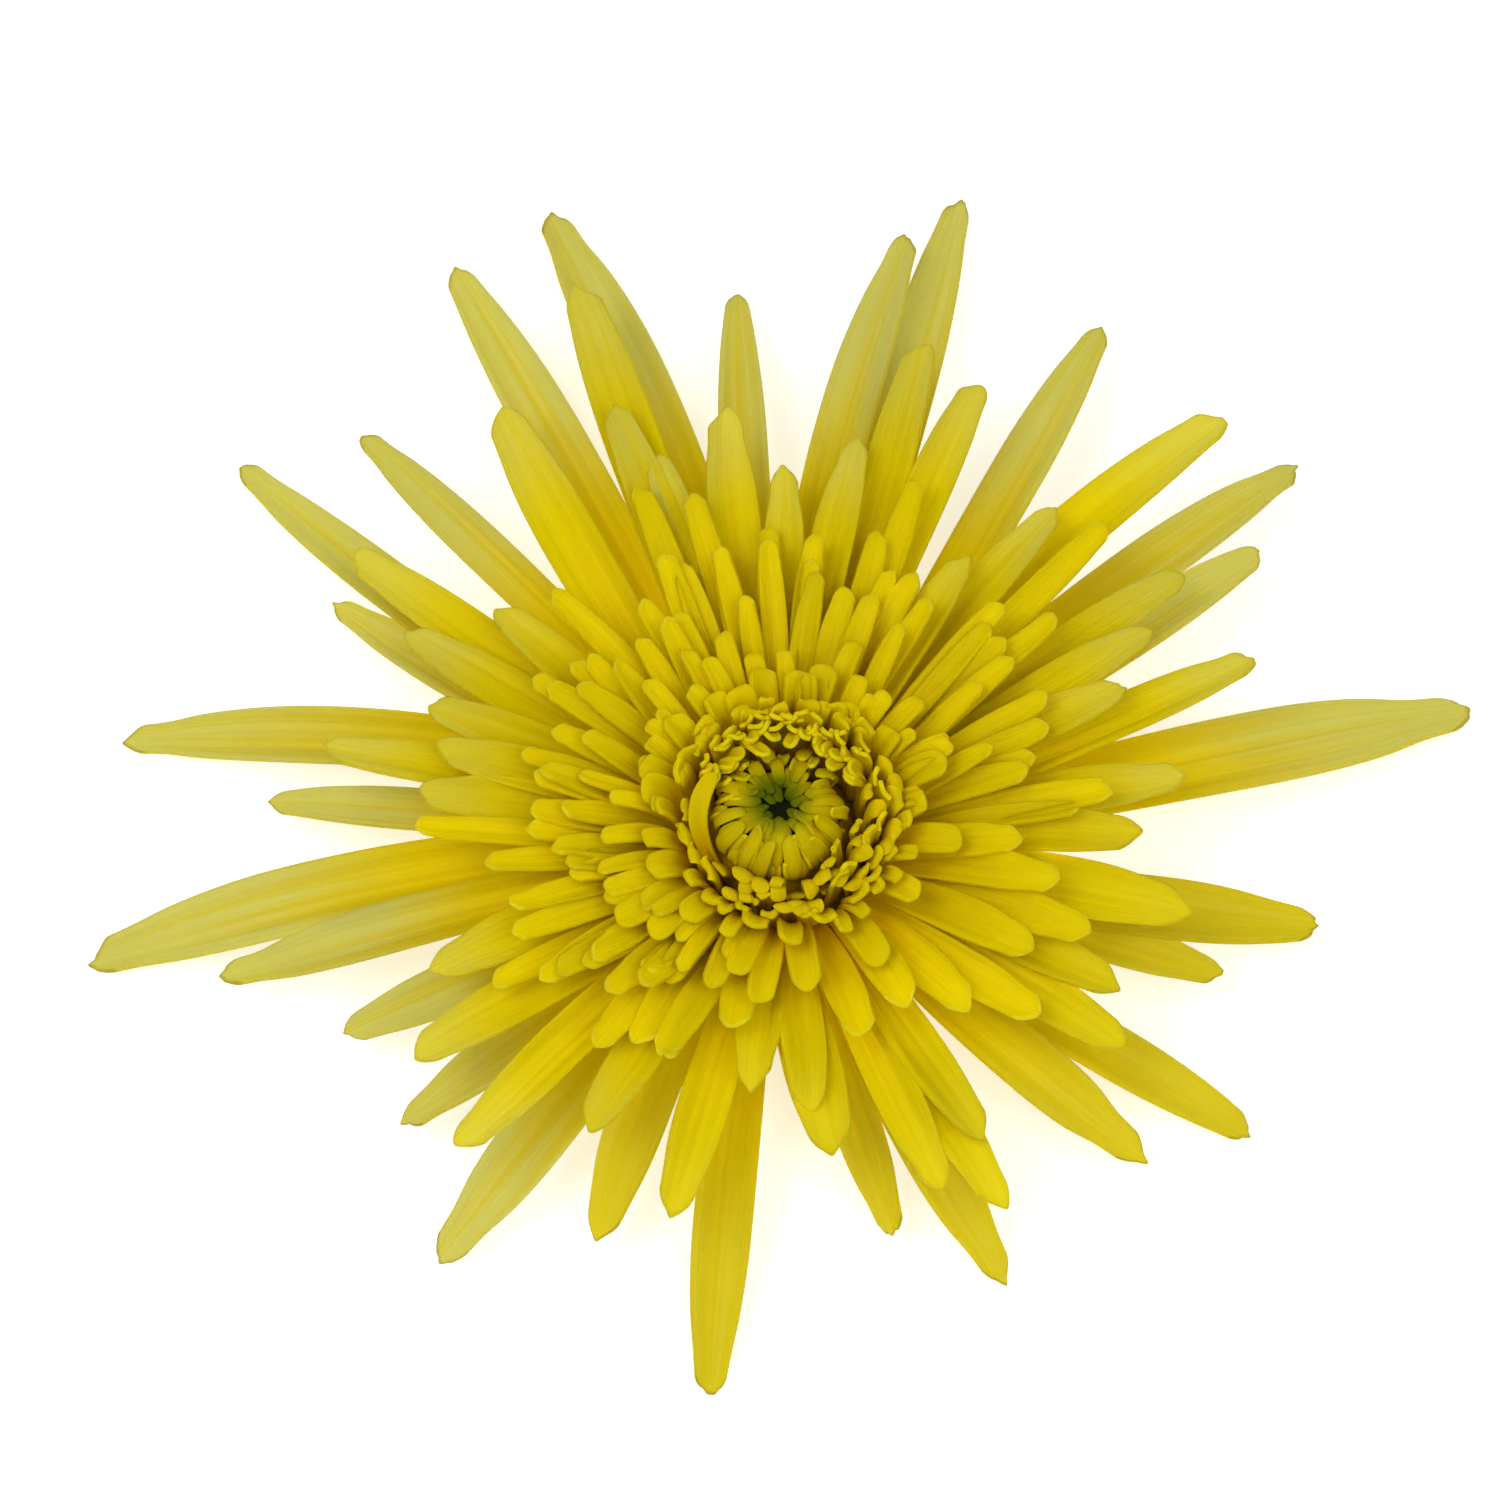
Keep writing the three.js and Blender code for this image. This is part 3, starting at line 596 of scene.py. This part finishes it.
def blend(tree, share, a, b, how="MIX"):
    node = add_node(tree, "ShaderNodeMix", data_type="RGBA", blend_type=how)
    for socket, value in ((node.inputs[0], share), (node.inputs[6], a), (node.inputs[7], b)):
        plug(tree, value, socket)
    return node.outputs[2]


def ramp(tree, value, low, high):
    """A smooth step from 0 at the low value to 1 at the high one."""
    node = add_node(tree, "ShaderNodeMapRange", interpolation_type="SMOOTHSTEP")
    plug(tree, value, node.inputs["Value"])
    plug(tree, low, node.inputs["From Min"])
    plug(tree, high, node.inputs["From Max"])
    return node.outputs[0]


def across_and_along(tree):
    """The place on a floret: from -1 to 1 across it, and from root to tip."""
    uv = add_node(tree, "ShaderNodeUVMap", uv_map="UVMap")
    apart = add_node(tree, "ShaderNodeSeparateXYZ")
    tree.links.new(uv.outputs[0], apart.inputs[0])
    across = calc(tree, "MULTIPLY_ADD", apart.outputs[0], 2.0, -1.0)
    return across, apart.outputs[1]


def attribute(tree, name):
    return add_node(tree, "ShaderNodeAttribute", attribute_name=name).outputs["Fac"]


def make_streak_group():
    """Soft streaks along a blade, broad ones and fine ones, which differ from blade to blade."""
    group, start, end = new_group(
        "floret streaks",
        [("Fine lines", "NodeSocketFloat", 9.0)],
        [("Broad", "NodeSocketFloat"), ("Fine", "NodeSocketFloat")],
    )
    across, along = across_and_along(group)
    tint = attribute(group, "tint")
    for label, lines in (("Broad", BROAD_LINES), ("Fine", start.outputs["Fine lines"])):
        place = add_node(group, "ShaderNodeCombineXYZ")
        sideways = calc(group, "MULTIPLY", across, lines)
        plug(group, calc(group, "MULTIPLY_ADD", tint, 31.0, sideways), place.inputs[0])
        plug(group, calc(group, "MULTIPLY_ADD", tint, 17.0, along), place.inputs[1])
        noise = add_node(group, "ShaderNodeTexNoise", noise_dimensions="2D")
        noise.inputs["Scale"].default_value = 1.0
        noise.inputs["Detail"].default_value = 2.0
        plug(group, place.outputs[0], noise.inputs["Vector"])
        plug(group, ramp(group, noise.outputs["Fac"], 0.3, 0.7), end.inputs[label])
    return group


def make_petal_colour_group():
    """The colour along and across a blade."""
    colour = "NodeSocketColor"
    number = "NodeSocketFloat"
    group, start, end = new_group(
        "petal colour",
        [
            ("Root", colour, (0.4, 0.2, 0, 1)),
            ("Body", colour, (0.6, 0.5, 0, 1)),
            ("Tip", colour, (0.66, 0.6, 0.06, 1)),
            ("Nib", colour, (0.4, 0.3, 0.01, 1)),
            ("Groove", colour, (0.58, 0.42, 0, 1)),
            ("Root end", number, 0.3),
            ("Tip start", number, 0.5),
            ("Nib share", number, 0.5),
            ("Crease", number, 0.0),
            ("Rim", number, 0.0),
            ("Broad", number, 0.5),
            ("Fine", number, 0.5),
        ],
        [("Color", colour)],
    )
    inputs = start.outputs
    across, along = across_and_along(group)
    tint = attribute(group, "tint")
    edge = ramp(group, calc(group, "ABSOLUTE", across), 0.8, 1.0)

    # Paler outwards, more along the streaks than at the edges, and mostly on the florets away from
    # the front: partly the long rays' own lemon, partly painted sheen, the pale haze of lit and
    # backlit petals.
    pale = ramp(group, along, inputs["Tip start"], calc(group, "ADD", inputs["Tip start"], 0.3))
    streak = calc(group, "ADD", inputs["Fine"], inputs["Broad"])
    pale = calc(group, "MULTIPLY", pale, calc(group, "MULTIPLY_ADD", streak, 0.5, 0.45))
    pale = calc(group, "MULTIPLY", pale, calc(group, "MULTIPLY_ADD", edge, -0.4, 1.0))
    painted_sheen_share = calc(group, "MULTIPLY_ADD", attribute(group, "painted_sheen"), 0.85, 0.15)
    pale = calc(group, "MINIMUM", calc(group, "MULTIPLY", pale, painted_sheen_share), 1.0)
    # The root colour: on all but the bud florets it is partly their own deeper gold and partly
    # painted bounce light, set lighter and more orange than the body so that the shade where petals
    # crowd near their roots comes out golden.
    root = ramp(group, along, 0.0, inputs["Root end"])
    whole = blend(group, root, inputs["Root"], inputs["Body"])
    whole = blend(group, pale, whole, inputs["Tip"])

    # Painted shade: golden-dark in the broad hollows and in the crease of the main groove, where
    # shade and bounce light gather, and a little darker at the edges.
    crease = calc(group, "ABSOLUTE", calc(group, "SUBTRACT", across, attribute(group, "crease")))
    crease = calc(group, "MULTIPLY", ramp(group, crease, 0.17, 0.0), inputs["Crease"])
    crease = calc(group, "MULTIPLY", crease, ramp(group, along, 0.95, 0.5))
    groove = calc(group, "MULTIPLY_ADD", inputs["Broad"], -0.45, 0.45)
    groove = calc(group, "MULTIPLY", groove, ramp(group, along, 0.85, 0.4))
    groove = calc(group, "MAXIMUM", groove, crease)
    groove = calc(group, "MAXIMUM", groove, calc(group, "MULTIPLY", edge, 0.25))
    whole = blend(group, groove, whole, inputs["Groove"])

    # The nib's colour at the very tip, and along the rims by the Rim share. The dark olive nibs of
    # the outer and upper rays are their own colour. The lighter nibs of the middle, inner and
    # slender florets, and the light nibs and rims of the crowded and bud florets, are painted
    # highlights.
    whole = blend(group, calc(group, "MULTIPLY", edge, inputs["Rim"]), whole, inputs["Nib"])
    nib = calc(group, "MULTIPLY", ramp(group, along, 0.94, 1.0), inputs["Nib share"])
    whole = blend(group, nib, whole, inputs["Nib"])

    # Lighter and darker in patches, from floret to floret and along the fine lines.
    patch = add_node(group, "ShaderNodeTexNoise")
    coords = add_node(group, "ShaderNodeTexCoord")
    plug(group, coords.outputs["Object"], patch.inputs["Vector"])
    patch.inputs["Scale"].default_value = 90.0
    patch.inputs["Detail"].default_value = 3.0
    shade = calc(group, "MULTIPLY_ADD", patch.outputs["Fac"], 0.2, 0.83)
    shade = calc(group, "MULTIPLY_ADD", tint, 0.1, shade)
    shade = calc(group, "MULTIPLY_ADD", inputs["Fine"], 0.05, shade)
    grey = add_node(group, "ShaderNodeCombineColor")
    for socket in grey.inputs:
        plug(group, shade, socket)
    plug(group, blend(group, 1.0, whole, grey.outputs[0], "MULTIPLY"), end.inputs["Color"])
    return group


STREAKS = make_streak_group()
PETAL_COLOUR = make_petal_colour_group()


def petal_material(name, values, fine_lines=9.0, relief=0.2, light_depth=1.2):
    """A living petal: a satin skin over tissue. Light sinks into it by that many millimetres."""
    material = bpy.data.materials.new(name)
    material.use_nodes = True
    tree = material.node_tree
    shader = tree.nodes["Principled BSDF"]
    streaks = add_node(tree, "ShaderNodeGroup", node_tree=STREAKS)
    streaks.inputs["Fine lines"].default_value = fine_lines
    colour = add_node(tree, "ShaderNodeGroup", node_tree=PETAL_COLOUR)
    for label, value in values.items():
        plug(tree, value, colour.inputs[label])
    for label in ("Broad", "Fine"):
        plug(tree, streaks.outputs[label], colour.inputs[label])
    plug(tree, colour.outputs["Color"], shader.inputs["Base Color"])
    bump = add_node(tree, "ShaderNodeBump")
    bump.inputs["Strength"].default_value = relief
    bump.inputs["Distance"].default_value = 0.25 * MM
    height = calc(tree, "MULTIPLY_ADD", streaks.outputs["Broad"], 2.0, streaks.outputs["Fine"])
    plug(tree, height, bump.inputs["Height"])
    plug(tree, bump.outputs["Normal"], shader.inputs["Normal"])
    shader.subsurface_method = "BURLEY"
    shader.inputs["Roughness"].default_value = 0.55
    shader.inputs["Specular IOR Level"].default_value = 0.04
    shader.inputs["Subsurface Weight"].default_value = 0.8
    shader.inputs["Subsurface Radius"].default_value = (1.0, 0.95, 0.1)
    shader.inputs["Subsurface Scale"].default_value = light_depth * MM
    return material


def plain_material(name, dark, light, scale, roughness):
    """Plain tissue with a fine mottle."""
    material = bpy.data.materials.new(name)
    material.use_nodes = True
    tree = material.node_tree
    shader = tree.nodes["Principled BSDF"]
    coords = add_node(tree, "ShaderNodeTexCoord")
    mottle = add_node(tree, "ShaderNodeTexNoise")
    mottle.inputs["Scale"].default_value = scale
    mottle.inputs["Detail"].default_value = 4.0
    plug(tree, coords.outputs["Object"], mottle.inputs["Vector"])
    plug(tree, blend(tree, mottle.outputs["Fac"], dark, light), shader.inputs["Base Color"])
    bump = add_node(tree, "ShaderNodeBump")
    bump.inputs["Strength"].default_value = 0.3
    bump.inputs["Distance"].default_value = 0.2 * MM
    plug(tree, mottle.outputs["Fac"], bump.inputs["Height"])
    plug(tree, bump.outputs["Normal"], shader.inputs["Normal"])
    shader.inputs["Roughness"].default_value = roughness
    shader.inputs["Specular IOR Level"].default_value = 0.1
    return material


def bud_material():
    """Olive yellow florets that turn green towards the hollow in the middle and are darker towards
    their roots, with painted highlights: lighter ends and bright nibs and rims.
    """
    material = petal_material("bud florets", {
        "Root": (0.40, 0.27, 0.001), "Body": (0.60, 0.47, 0.001), "Tip": (0.72, 0.59, 0.002),
        "Nib": (0.88, 0.74, 0.004), "Root end": 0.35, "Tip start": 0.45, "Nib share": 0.8,
        "Rim": 0.85,
    }, fine_lines=4.0, relief=0.15, light_depth=0.096)
    tree = material.node_tree
    shader = tree.nodes["Principled BSDF"]
    colour = shader.inputs["Base Color"].links[0].from_socket
    coords = add_node(tree, "ShaderNodeTexCoord")
    centre = add_node(tree, "ShaderNodeVectorMath", operation="DISTANCE")
    centre.inputs[1].default_value = (BLOOM_AXIS + BUD_OFFSET + GREEN["centre"]) * MM
    plug(tree, coords.outputs["Object"], centre.inputs[0])
    greenness = ramp(tree, centre.outputs["Value"], GREEN["reach"] * MM, GREEN["full"] * MM)
    plug(tree, blend(tree, greenness, colour, GREEN["colour"]), shader.inputs["Base Color"])
    return material


def core_material():
    """Golden at the foot, with painted shade in the hollow on top: nearly black there."""
    material = plain_material(
        "bud core", (0.42, 0.26, 0), (0.6, 0.38, 0), scale=700, roughness=0.9
    )
    tree = material.node_tree
    shader = tree.nodes["Principled BSDF"]
    colour = shader.inputs["Base Color"].links[0].from_socket
    coords = add_node(tree, "ShaderNodeTexCoord")
    apart = add_node(tree, "ShaderNodeSeparateXYZ")
    plug(tree, coords.outputs["Object"], apart.inputs[0])
    # Painted shade: nearly black in the hollow on top.
    top = ramp(tree, apart.outputs[2], *(height * MM for height in HOLLOW_SHADE["heights"]))
    plug(tree, blend(tree, top, colour, HOLLOW_SHADE["colour"]), shader.inputs["Base Color"])
    return material


# ---------------------------------------------------------------- pieces


def from_front_side(direction):
    """How many degrees a direction lies from the front side, where florets are broader and get no
    painted sheen.
    """
    return abs((direction - FRONT_SIDE + 180) % 360 - 180)


def painted_sheen_of(direction, reach):
    """Painted sheen: how much of the pale haze of lit and backlit petals a floret's colour gets.
    None on the florets in front, whose tips stay golden, and none on short ones.
    """
    side = clamp(share_of(from_front_side(direction), *PALE["angles"]))
    return side * clamp(share_of(reach, *PALE["reaches"]))


def outer_rays(name, whorl, rays, material):
    bm = new_bmesh()
    for direction, reach, height, width, sweep in rays:
        line = ray_line(direction, reach, height, sweep, whorl.arch)
        add_floret(bm, Floret(whorl, line, direction, width), painted_sheen_of(direction, reach))
    finish(name, bm, PETAL_SKIN, material, "ray_florets")


def middle_rays(material):
    bm = new_bmesh()
    for direction, reach in MIDDLE_RAYS:
        height = height_at(reach)
        line = ray_line(direction, reach, height, form.spread(MIDDLE_SWEEP), MIDDLE.arch)
        width = mix(*MIDDLE_WIDTHS, share_of(reach, *MIDDLE_REACHES))
        side = clamp(share_of(from_front_side(direction), *BROAD_SIDE["angles"]))
        width *= mix(*BROAD_SIDE["widths"], side)
        add_floret(bm, Floret(MIDDLE, line, direction, width))
    finish("middle_rays", bm, PETAL_SKIN, material, "ray_florets")


def short_floret(bm, whorl, sizes, direction, reach, height, width, swing):
    """Stands up from its root, bends outward or in, and ends at its reach and height."""
    share = share_of(reach, *sizes["reach"])
    size = {name: mix(*span, share) for name, span in sizes.items()}
    bend_direction = direction + BEND_SWING * swing + form.spread(BEND_UNEVEN)
    bend = on_axis(bend_direction, size["bend_radius"], size["bend_height"])
    root = on_axis(direction + swing, size["root_radius"], size["root_height"])
    line = Line(root, bend, on_axis(direction, reach, height))
    add_floret(bm, Floret(whorl, line, direction, width))


def inner_florets(material):
    bm = new_bmesh()
    for direction, reach, width in INNER_FLORETS:
        height = height_at(reach) - INNER_DROP
        short_floret(bm, INNER, INNER_SIZES, direction, reach, height, width, swing=0)
    finish("inner_florets", bm, STOUT_PETAL_SKIN, material, "ray_florets")


def crowded_florets(material):
    bm = new_bmesh()
    for values in CURLED_FLORETS:
        short_floret(bm, CURLED, CURLED_SIZES, *values)
    for values in SPLAYED_FLORETS:
        short_floret(bm, SPLAYED, SPLAYED_SIZES, *values)
    line = Line(*(on_axis(*WRAPPED_FLORET[place]) for place in ("root", "bend", "tip")))
    add_floret(bm, Floret(WRAPPED, line, WRAPPED_FLORET["facing"], WRAPPED_FLORET["width"]))
    finish("crowded_florets", bm, PETAL_SKIN, material, "disc_florets")


def small_florets(material):
    bm = new_bmesh()
    for count, directions, reaches, heights, widths in SMALL_FIELDS:
        for index in range(count):
            place = (index + looks.spread(SMALL_UNEVEN["place"])) / count
            direction = mix(*directions, place)
            share = looks.share()
            reach = mix(*reaches, share)
            height = mix(*heights, share) + looks.spread(SMALL_UNEVEN["height"])
            width = mix(*widths, looks.share())
            swing = looks.spread(SMALL_SWING)
            short_floret(bm, SMALL, SMALL_SIZES, direction, reach, height, width, swing)
    finish("small_florets", bm, PETAL_SKIN, material, "disc_florets")


def between_places(count, reaches, widths):
    """Directions, reaches and widths, drawn one after the other as they are used."""
    for index in range(count):
        direction = mix(*BETWEEN_SIDES, (index + looks.spread(BETWEEN_UNEVEN)) / count)
        yield direction, mix(*reaches, looks.share()), mix(*widths, looks.share())


def between_florets(material):
    """Slender florets of every length between the inner and the middle ones."""
    bm = new_bmesh()
    for direction, reach, width in between_places(*BETWEEN_INNER):
        height = height_at(reach) - INNER_DROP
        short_floret(bm, INNER, INNER_SIZES, direction, reach, height, width, swing=0)
    for direction, reach, width in between_places(*BETWEEN_MIDDLE):
        height = height_at(reach)
        line = ray_line(direction, reach, height, form.spread(MIDDLE_SWEEP), MIDDLE.arch)
        add_floret(bm, Floret(MIDDLE, line, direction, width))
    finish("between_florets", bm, PETAL_SKIN, material, "ray_florets")


def on_dome(tilt, bearing, down, over):
    """A place over the bud's dome, so many degrees down from its tilted top."""
    angle = math.radians(down)
    radius = BUD["radius"] + over
    place = on_axis(bearing, radius * math.sin(angle), radius * math.cos(angle))
    place.rotate(Quaternion((1, 0, 0), math.radians(tilt)))
    return place + Vector((0, 0, BUD["middle"])) + BUD_OFFSET


def bud_line(depth, tilt, bearing, start, end):
    """Rises from the core, bulges to its layer's depth halfway and bends in again."""
    tip_under = depth + BUD_FLORET["tip_depth"] * form.share()
    chord = BUD["radius"] - (BUD_FLORET["root_depth"] + tip_under) / 2
    bulge = BUD["radius"] - 2 * depth - chord * math.cos(math.radians((start - end) / 2))
    bend_bearing = bearing + form.spread(BUD_FLORET["sway"])
    bulge += form.spread(BUD_FLORET["uneven"])
    tip_bearing = bearing + form.spread(BUD_FLORET["sway"])
    return Line(
        on_dome(tilt, bearing, start, -BUD_FLORET["root_depth"]),
        on_dome(tilt, bend_bearing, (start + end) / 2, bulge),
        on_dome(tilt, tip_bearing, end, -tip_under),
    )


def bud_florets(material):
    bm = new_bmesh()
    for depth, tilt, florets in BUD_LAYERS:
        slimness = BUD_SLIMNESS["outside"] - BUD_SLIMNESS["less_each_mm"] * depth
        for bearing, start, end, width in florets:
            line = bud_line(depth, tilt, bearing, start, end)
            add_floret(bm, Floret(CLOSED, line, bearing + 180, slimness * width))
    finish("bud_florets", bm, STOUT_PETAL_SKIN, material, "disc_florets")


def slender_florets(material):
    bm = new_bmesh()
    for count, depths, starts, ends, widths in SLENDER_FLORETS:
        for index in range(count):
            bearing = (index + looks.spread(SLENDER_UNEVEN)) * 360 / count
            start, end = mix(*starts, looks.share()), mix(*ends, looks.share())
            line = bud_line(mix(*depths, looks.share()), SLENDER_TILT, bearing, start, end)
            width = mix(*widths, looks.share())
            add_floret(bm, Floret(SLENDER, line, bearing + 180, width))
    finish("slender_florets", bm, PETAL_SKIN, material, "disc_florets")


def turned(name, outline, material, replaced, sides=32, offset=(0, 0, 0)):
    """A closed shape turned about an upright axis."""
    bm = bmesh.new()
    verts = [bm.verts.new((radius, 0, height)) for radius, height in outline]
    edges = [bm.edges.new(pair) for pair in zip(verts, verts[1:])]
    bmesh.ops.spin(
        bm, geom=verts + edges, cent=(0, 0, 0), axis=(0, 0, 1), angle=2 * math.pi, steps=sides,
        use_merge=True,
    )
    bmesh.ops.remove_doubles(bm, verts=bm.verts, dist=1e-3)
    bmesh.ops.recalc_face_normals(bm, faces=bm.faces)
    bmesh.ops.translate(bm, verts=bm.verts, vec=offset)
    finish(name, bm, 0, material, replaced)


def bud_core(material):
    """It carries the bud's florets, and the crowded ones on a rim round its foot."""
    seat, foot = BUD_CORE["seat"], BUD["base"]
    radius = BUD["radius"] - BUD_CORE["depth"]
    flank = [
        (radius * math.sin(angle), BUD["middle"] + radius * math.cos(angle))
        for angle in map(math.radians, BUD_CORE_SIDE)
    ]
    hollow = (0, BUD["middle"] + BUD["radius"] - BUD_CORE["hollow"])
    outline = [(0, foot), (seat, foot), (seat, foot + BUD_CORE["shoulder"]), *flank, hollow]
    turned("bud_core", outline, material, "disc_florets", sides=24, offset=BUD_OFFSET)


def bracts(material):
    bm = new_bmesh()
    for level, (count, root, tip, width) in enumerate(BRACT_ROWS):
        for index in range(count):
            bearing = (index + 0.5 * (level % 2)) * 360 / count
            bend_radius = mix(root[0], tip[0], BRACT_BEND["outward"])
            bend = on_axis(bearing, bend_radius, mix(root[1], tip[1], BRACT_BEND["upward"]))
            line = Line(on_axis(bearing, *root), bend, on_axis(bearing, *tip))
            add_floret(bm, Floret(BRACT, line, bearing, width))
    finish("bracts", bm, BRACT_SKIN, material, "involucre")


# ---------------------------------------------------------------- the stage

VIEW_ELEVATION = math.radians(70)
VIEW_DISTANCE = 700 * MM
VIEW_WIDTH = 135 * MM                       # what the frame spans at that distance
VIEW_AIM = Vector((-3.15, -0.4, 12)) * MM
SENSOR = 36                                 # in millimetres, as cameras give it
FLOOR_RADIUS = 3                            # metres, as the lamps' places and sizes
ROOM_LIGHT = 0.3


def add_camera():
    camera = bpy.data.cameras.new("camera")
    camera.sensor_width = SENSOR
    camera.lens = SENSOR * VIEW_DISTANCE / VIEW_WIDTH
    camera.clip_end = 20
    stand = bpy.data.objects.new("camera", camera)
    back = Vector((0, -math.cos(VIEW_ELEVATION), math.sin(VIEW_ELEVATION)))
    stand.location = VIEW_AIM + back * VIEW_DISTANCE
    stand.rotation_euler = (-back).to_track_quat("-Z", "Y").to_euler()
    bpy.context.collection.objects.link(stand)
    bpy.context.scene.camera = stand


def add_lamp(name, place, size, power):
    """A round lamp that looks at the bloom."""
    lamp = bpy.data.lights.new(name, "AREA")
    lamp.shape = "DISK"
    lamp.size = size
    lamp.energy = power
    stand = bpy.data.objects.new(name, lamp)
    stand.location = place
    stand.rotation_euler = (-Vector(place)).to_track_quat("-Z", "Y").to_euler()
    bpy.context.collection.objects.link(stand)


def add_floor():
    """Pale, and a little bright of itself, so that it stays white under the bloom."""
    bm = bmesh.new()
    bmesh.ops.create_circle(bm, cap_ends=True, segments=64, radius=FLOOR_RADIUS)
    mesh = bpy.data.meshes.new("floor")
    bm.to_mesh(mesh)
    bm.free()
    floor = bpy.data.objects.new("floor", mesh)
    bpy.context.collection.objects.link(floor)
    material = bpy.data.materials.new("floor")
    material.use_nodes = True
    shader = material.node_tree.nodes["Principled BSDF"]
    shader.inputs["Base Color"].default_value = (0.93, 0.93, 0.93, 1)
    shader.inputs["Roughness"].default_value = 0.9
    shader.inputs["Specular IOR Level"].default_value = 0
    shader.inputs["Emission Color"].default_value = (1, 1, 1, 1)
    shader.inputs["Emission Strength"].default_value = 0.5
    mesh.materials.append(material)


def add_room_light():
    world = bpy.data.worlds.new("studio")
    world.use_nodes = True
    light = world.node_tree.nodes["Background"]
    light.inputs["Color"].default_value = (1, 1, 1, 1)
    light.inputs["Strength"].default_value = ROOM_LIGHT
    bpy.context.scene.world = world
    bpy.context.scene.view_settings.view_transform = "Standard"


# ---------------------------------------------------------------- the bloom

# The Root colours are lighter than the bodies partly as painted bounce light in the shade near the
# roots. The pale Tip colours of the outer and upper rays are partly their own lemon and partly
# painted sheen. The light Nib colours, and the Rim on the crowded and bud florets, are painted
# highlights.
outer = petal_material("outer petals", {
    "Root": (0.80, 0.57, 0), "Body": (0.63, 0.51, 0), "Tip": (0.575, 0.54, 0.125),
    "Nib": (0.36, 0.26, 0.004), "Root end": 0.6, "Tip start": 0.34, "Nib share": 0.7,
    "Crease": 0.55,
}, fine_lines=10.0)
upper = petal_material("upper petals", {
    "Root": (0.88, 0.62, 0), "Body": (0.67, 0.545, 0), "Tip": (0.61, 0.54, 0.06),
    "Nib": (0.50, 0.40, 0.01), "Root end": 0.6, "Tip start": 0.55, "Nib share": 0.5,
    "Crease": 0.6,
}, light_depth=1.56)
middle = petal_material("middle petals", {
    "Root": (0.90, 0.64, 0), "Body": (0.75, 0.59, 0), "Tip": (0.63, 0.52, 0.002),
    "Nib": (0.78, 0.68, 0.03), "Root end": 0.6, "Tip start": 0.6, "Nib share": 0.5,
    "Crease": 0.4,
}, fine_lines=7.0, light_depth=1.92)
inner = petal_material("inner petals", {
    "Root": (0.90, 0.59, 0), "Body": (0.74, 0.57, 0), "Tip": (0.65, 0.53, 0.001),
    "Nib": (0.70, 0.58, 0.005), "Root end": 0.6, "Tip start": 0.55, "Nib share": 0.3,
}, fine_lines=4.0)
between = petal_material("slender petals", {
    "Root": (0.90, 0.61, 0), "Body": (0.75, 0.585, 0), "Tip": (0.64, 0.525, 0.002),
    "Nib": (0.74, 0.63, 0.02), "Root end": 0.6, "Tip start": 0.6, "Nib share": 0.6,
    "Crease": 0.3,
}, fine_lines=5.0, light_depth=1.32)
crowded = petal_material("crowded petals", {
    "Root": (0.82, 0.47, 0), "Body": (0.72, 0.53, 0), "Tip": (0.74, 0.59, 0.001),
    "Nib": (0.80, 0.68, 0.004), "Root end": 0.5, "Tip start": 0.6, "Nib share": 0.8,
    "Rim": 0.5,
}, fine_lines=4.0, relief=0.15, light_depth=0.144)
bud = bud_material()
green = plain_material(
    "green tissue", (0.07, 0.14, 0.02), (0.2, 0.3, 0.06), scale=900, roughness=0.55
)
base = plain_material("receptacle", (0.42, 0.24, 0), (0.62, 0.38, 0), scale=500, roughness=0.7)
core = core_material()

outer_rays("lowest_rays", LOWEST, LOWEST_RAYS, outer)
outer_rays("upper_rays", UPPER, UPPER_RAYS, upper)
middle_rays(middle)
inner_florets(inner)
bud_florets(bud)
crowded_florets(crowded)
slender_florets(bud)
small_florets(crowded)
between_florets(between)
bud_core(core)
turned("receptacle", RECEPTACLE, base, "ray_florets")
turned("cup", CUP, green, "involucre")
bracts(green)

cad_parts["stem"].data.materials.clear()
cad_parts["stem"].data.materials.append(green)

add_camera()
add_floor()
add_room_light()
add_lamp("key", (-0.35, -0.1, 0.88), size=0.5, power=3.1)
add_lamp("fill", (0.3, -0.3, 0.85), size=0.6, power=2.5)
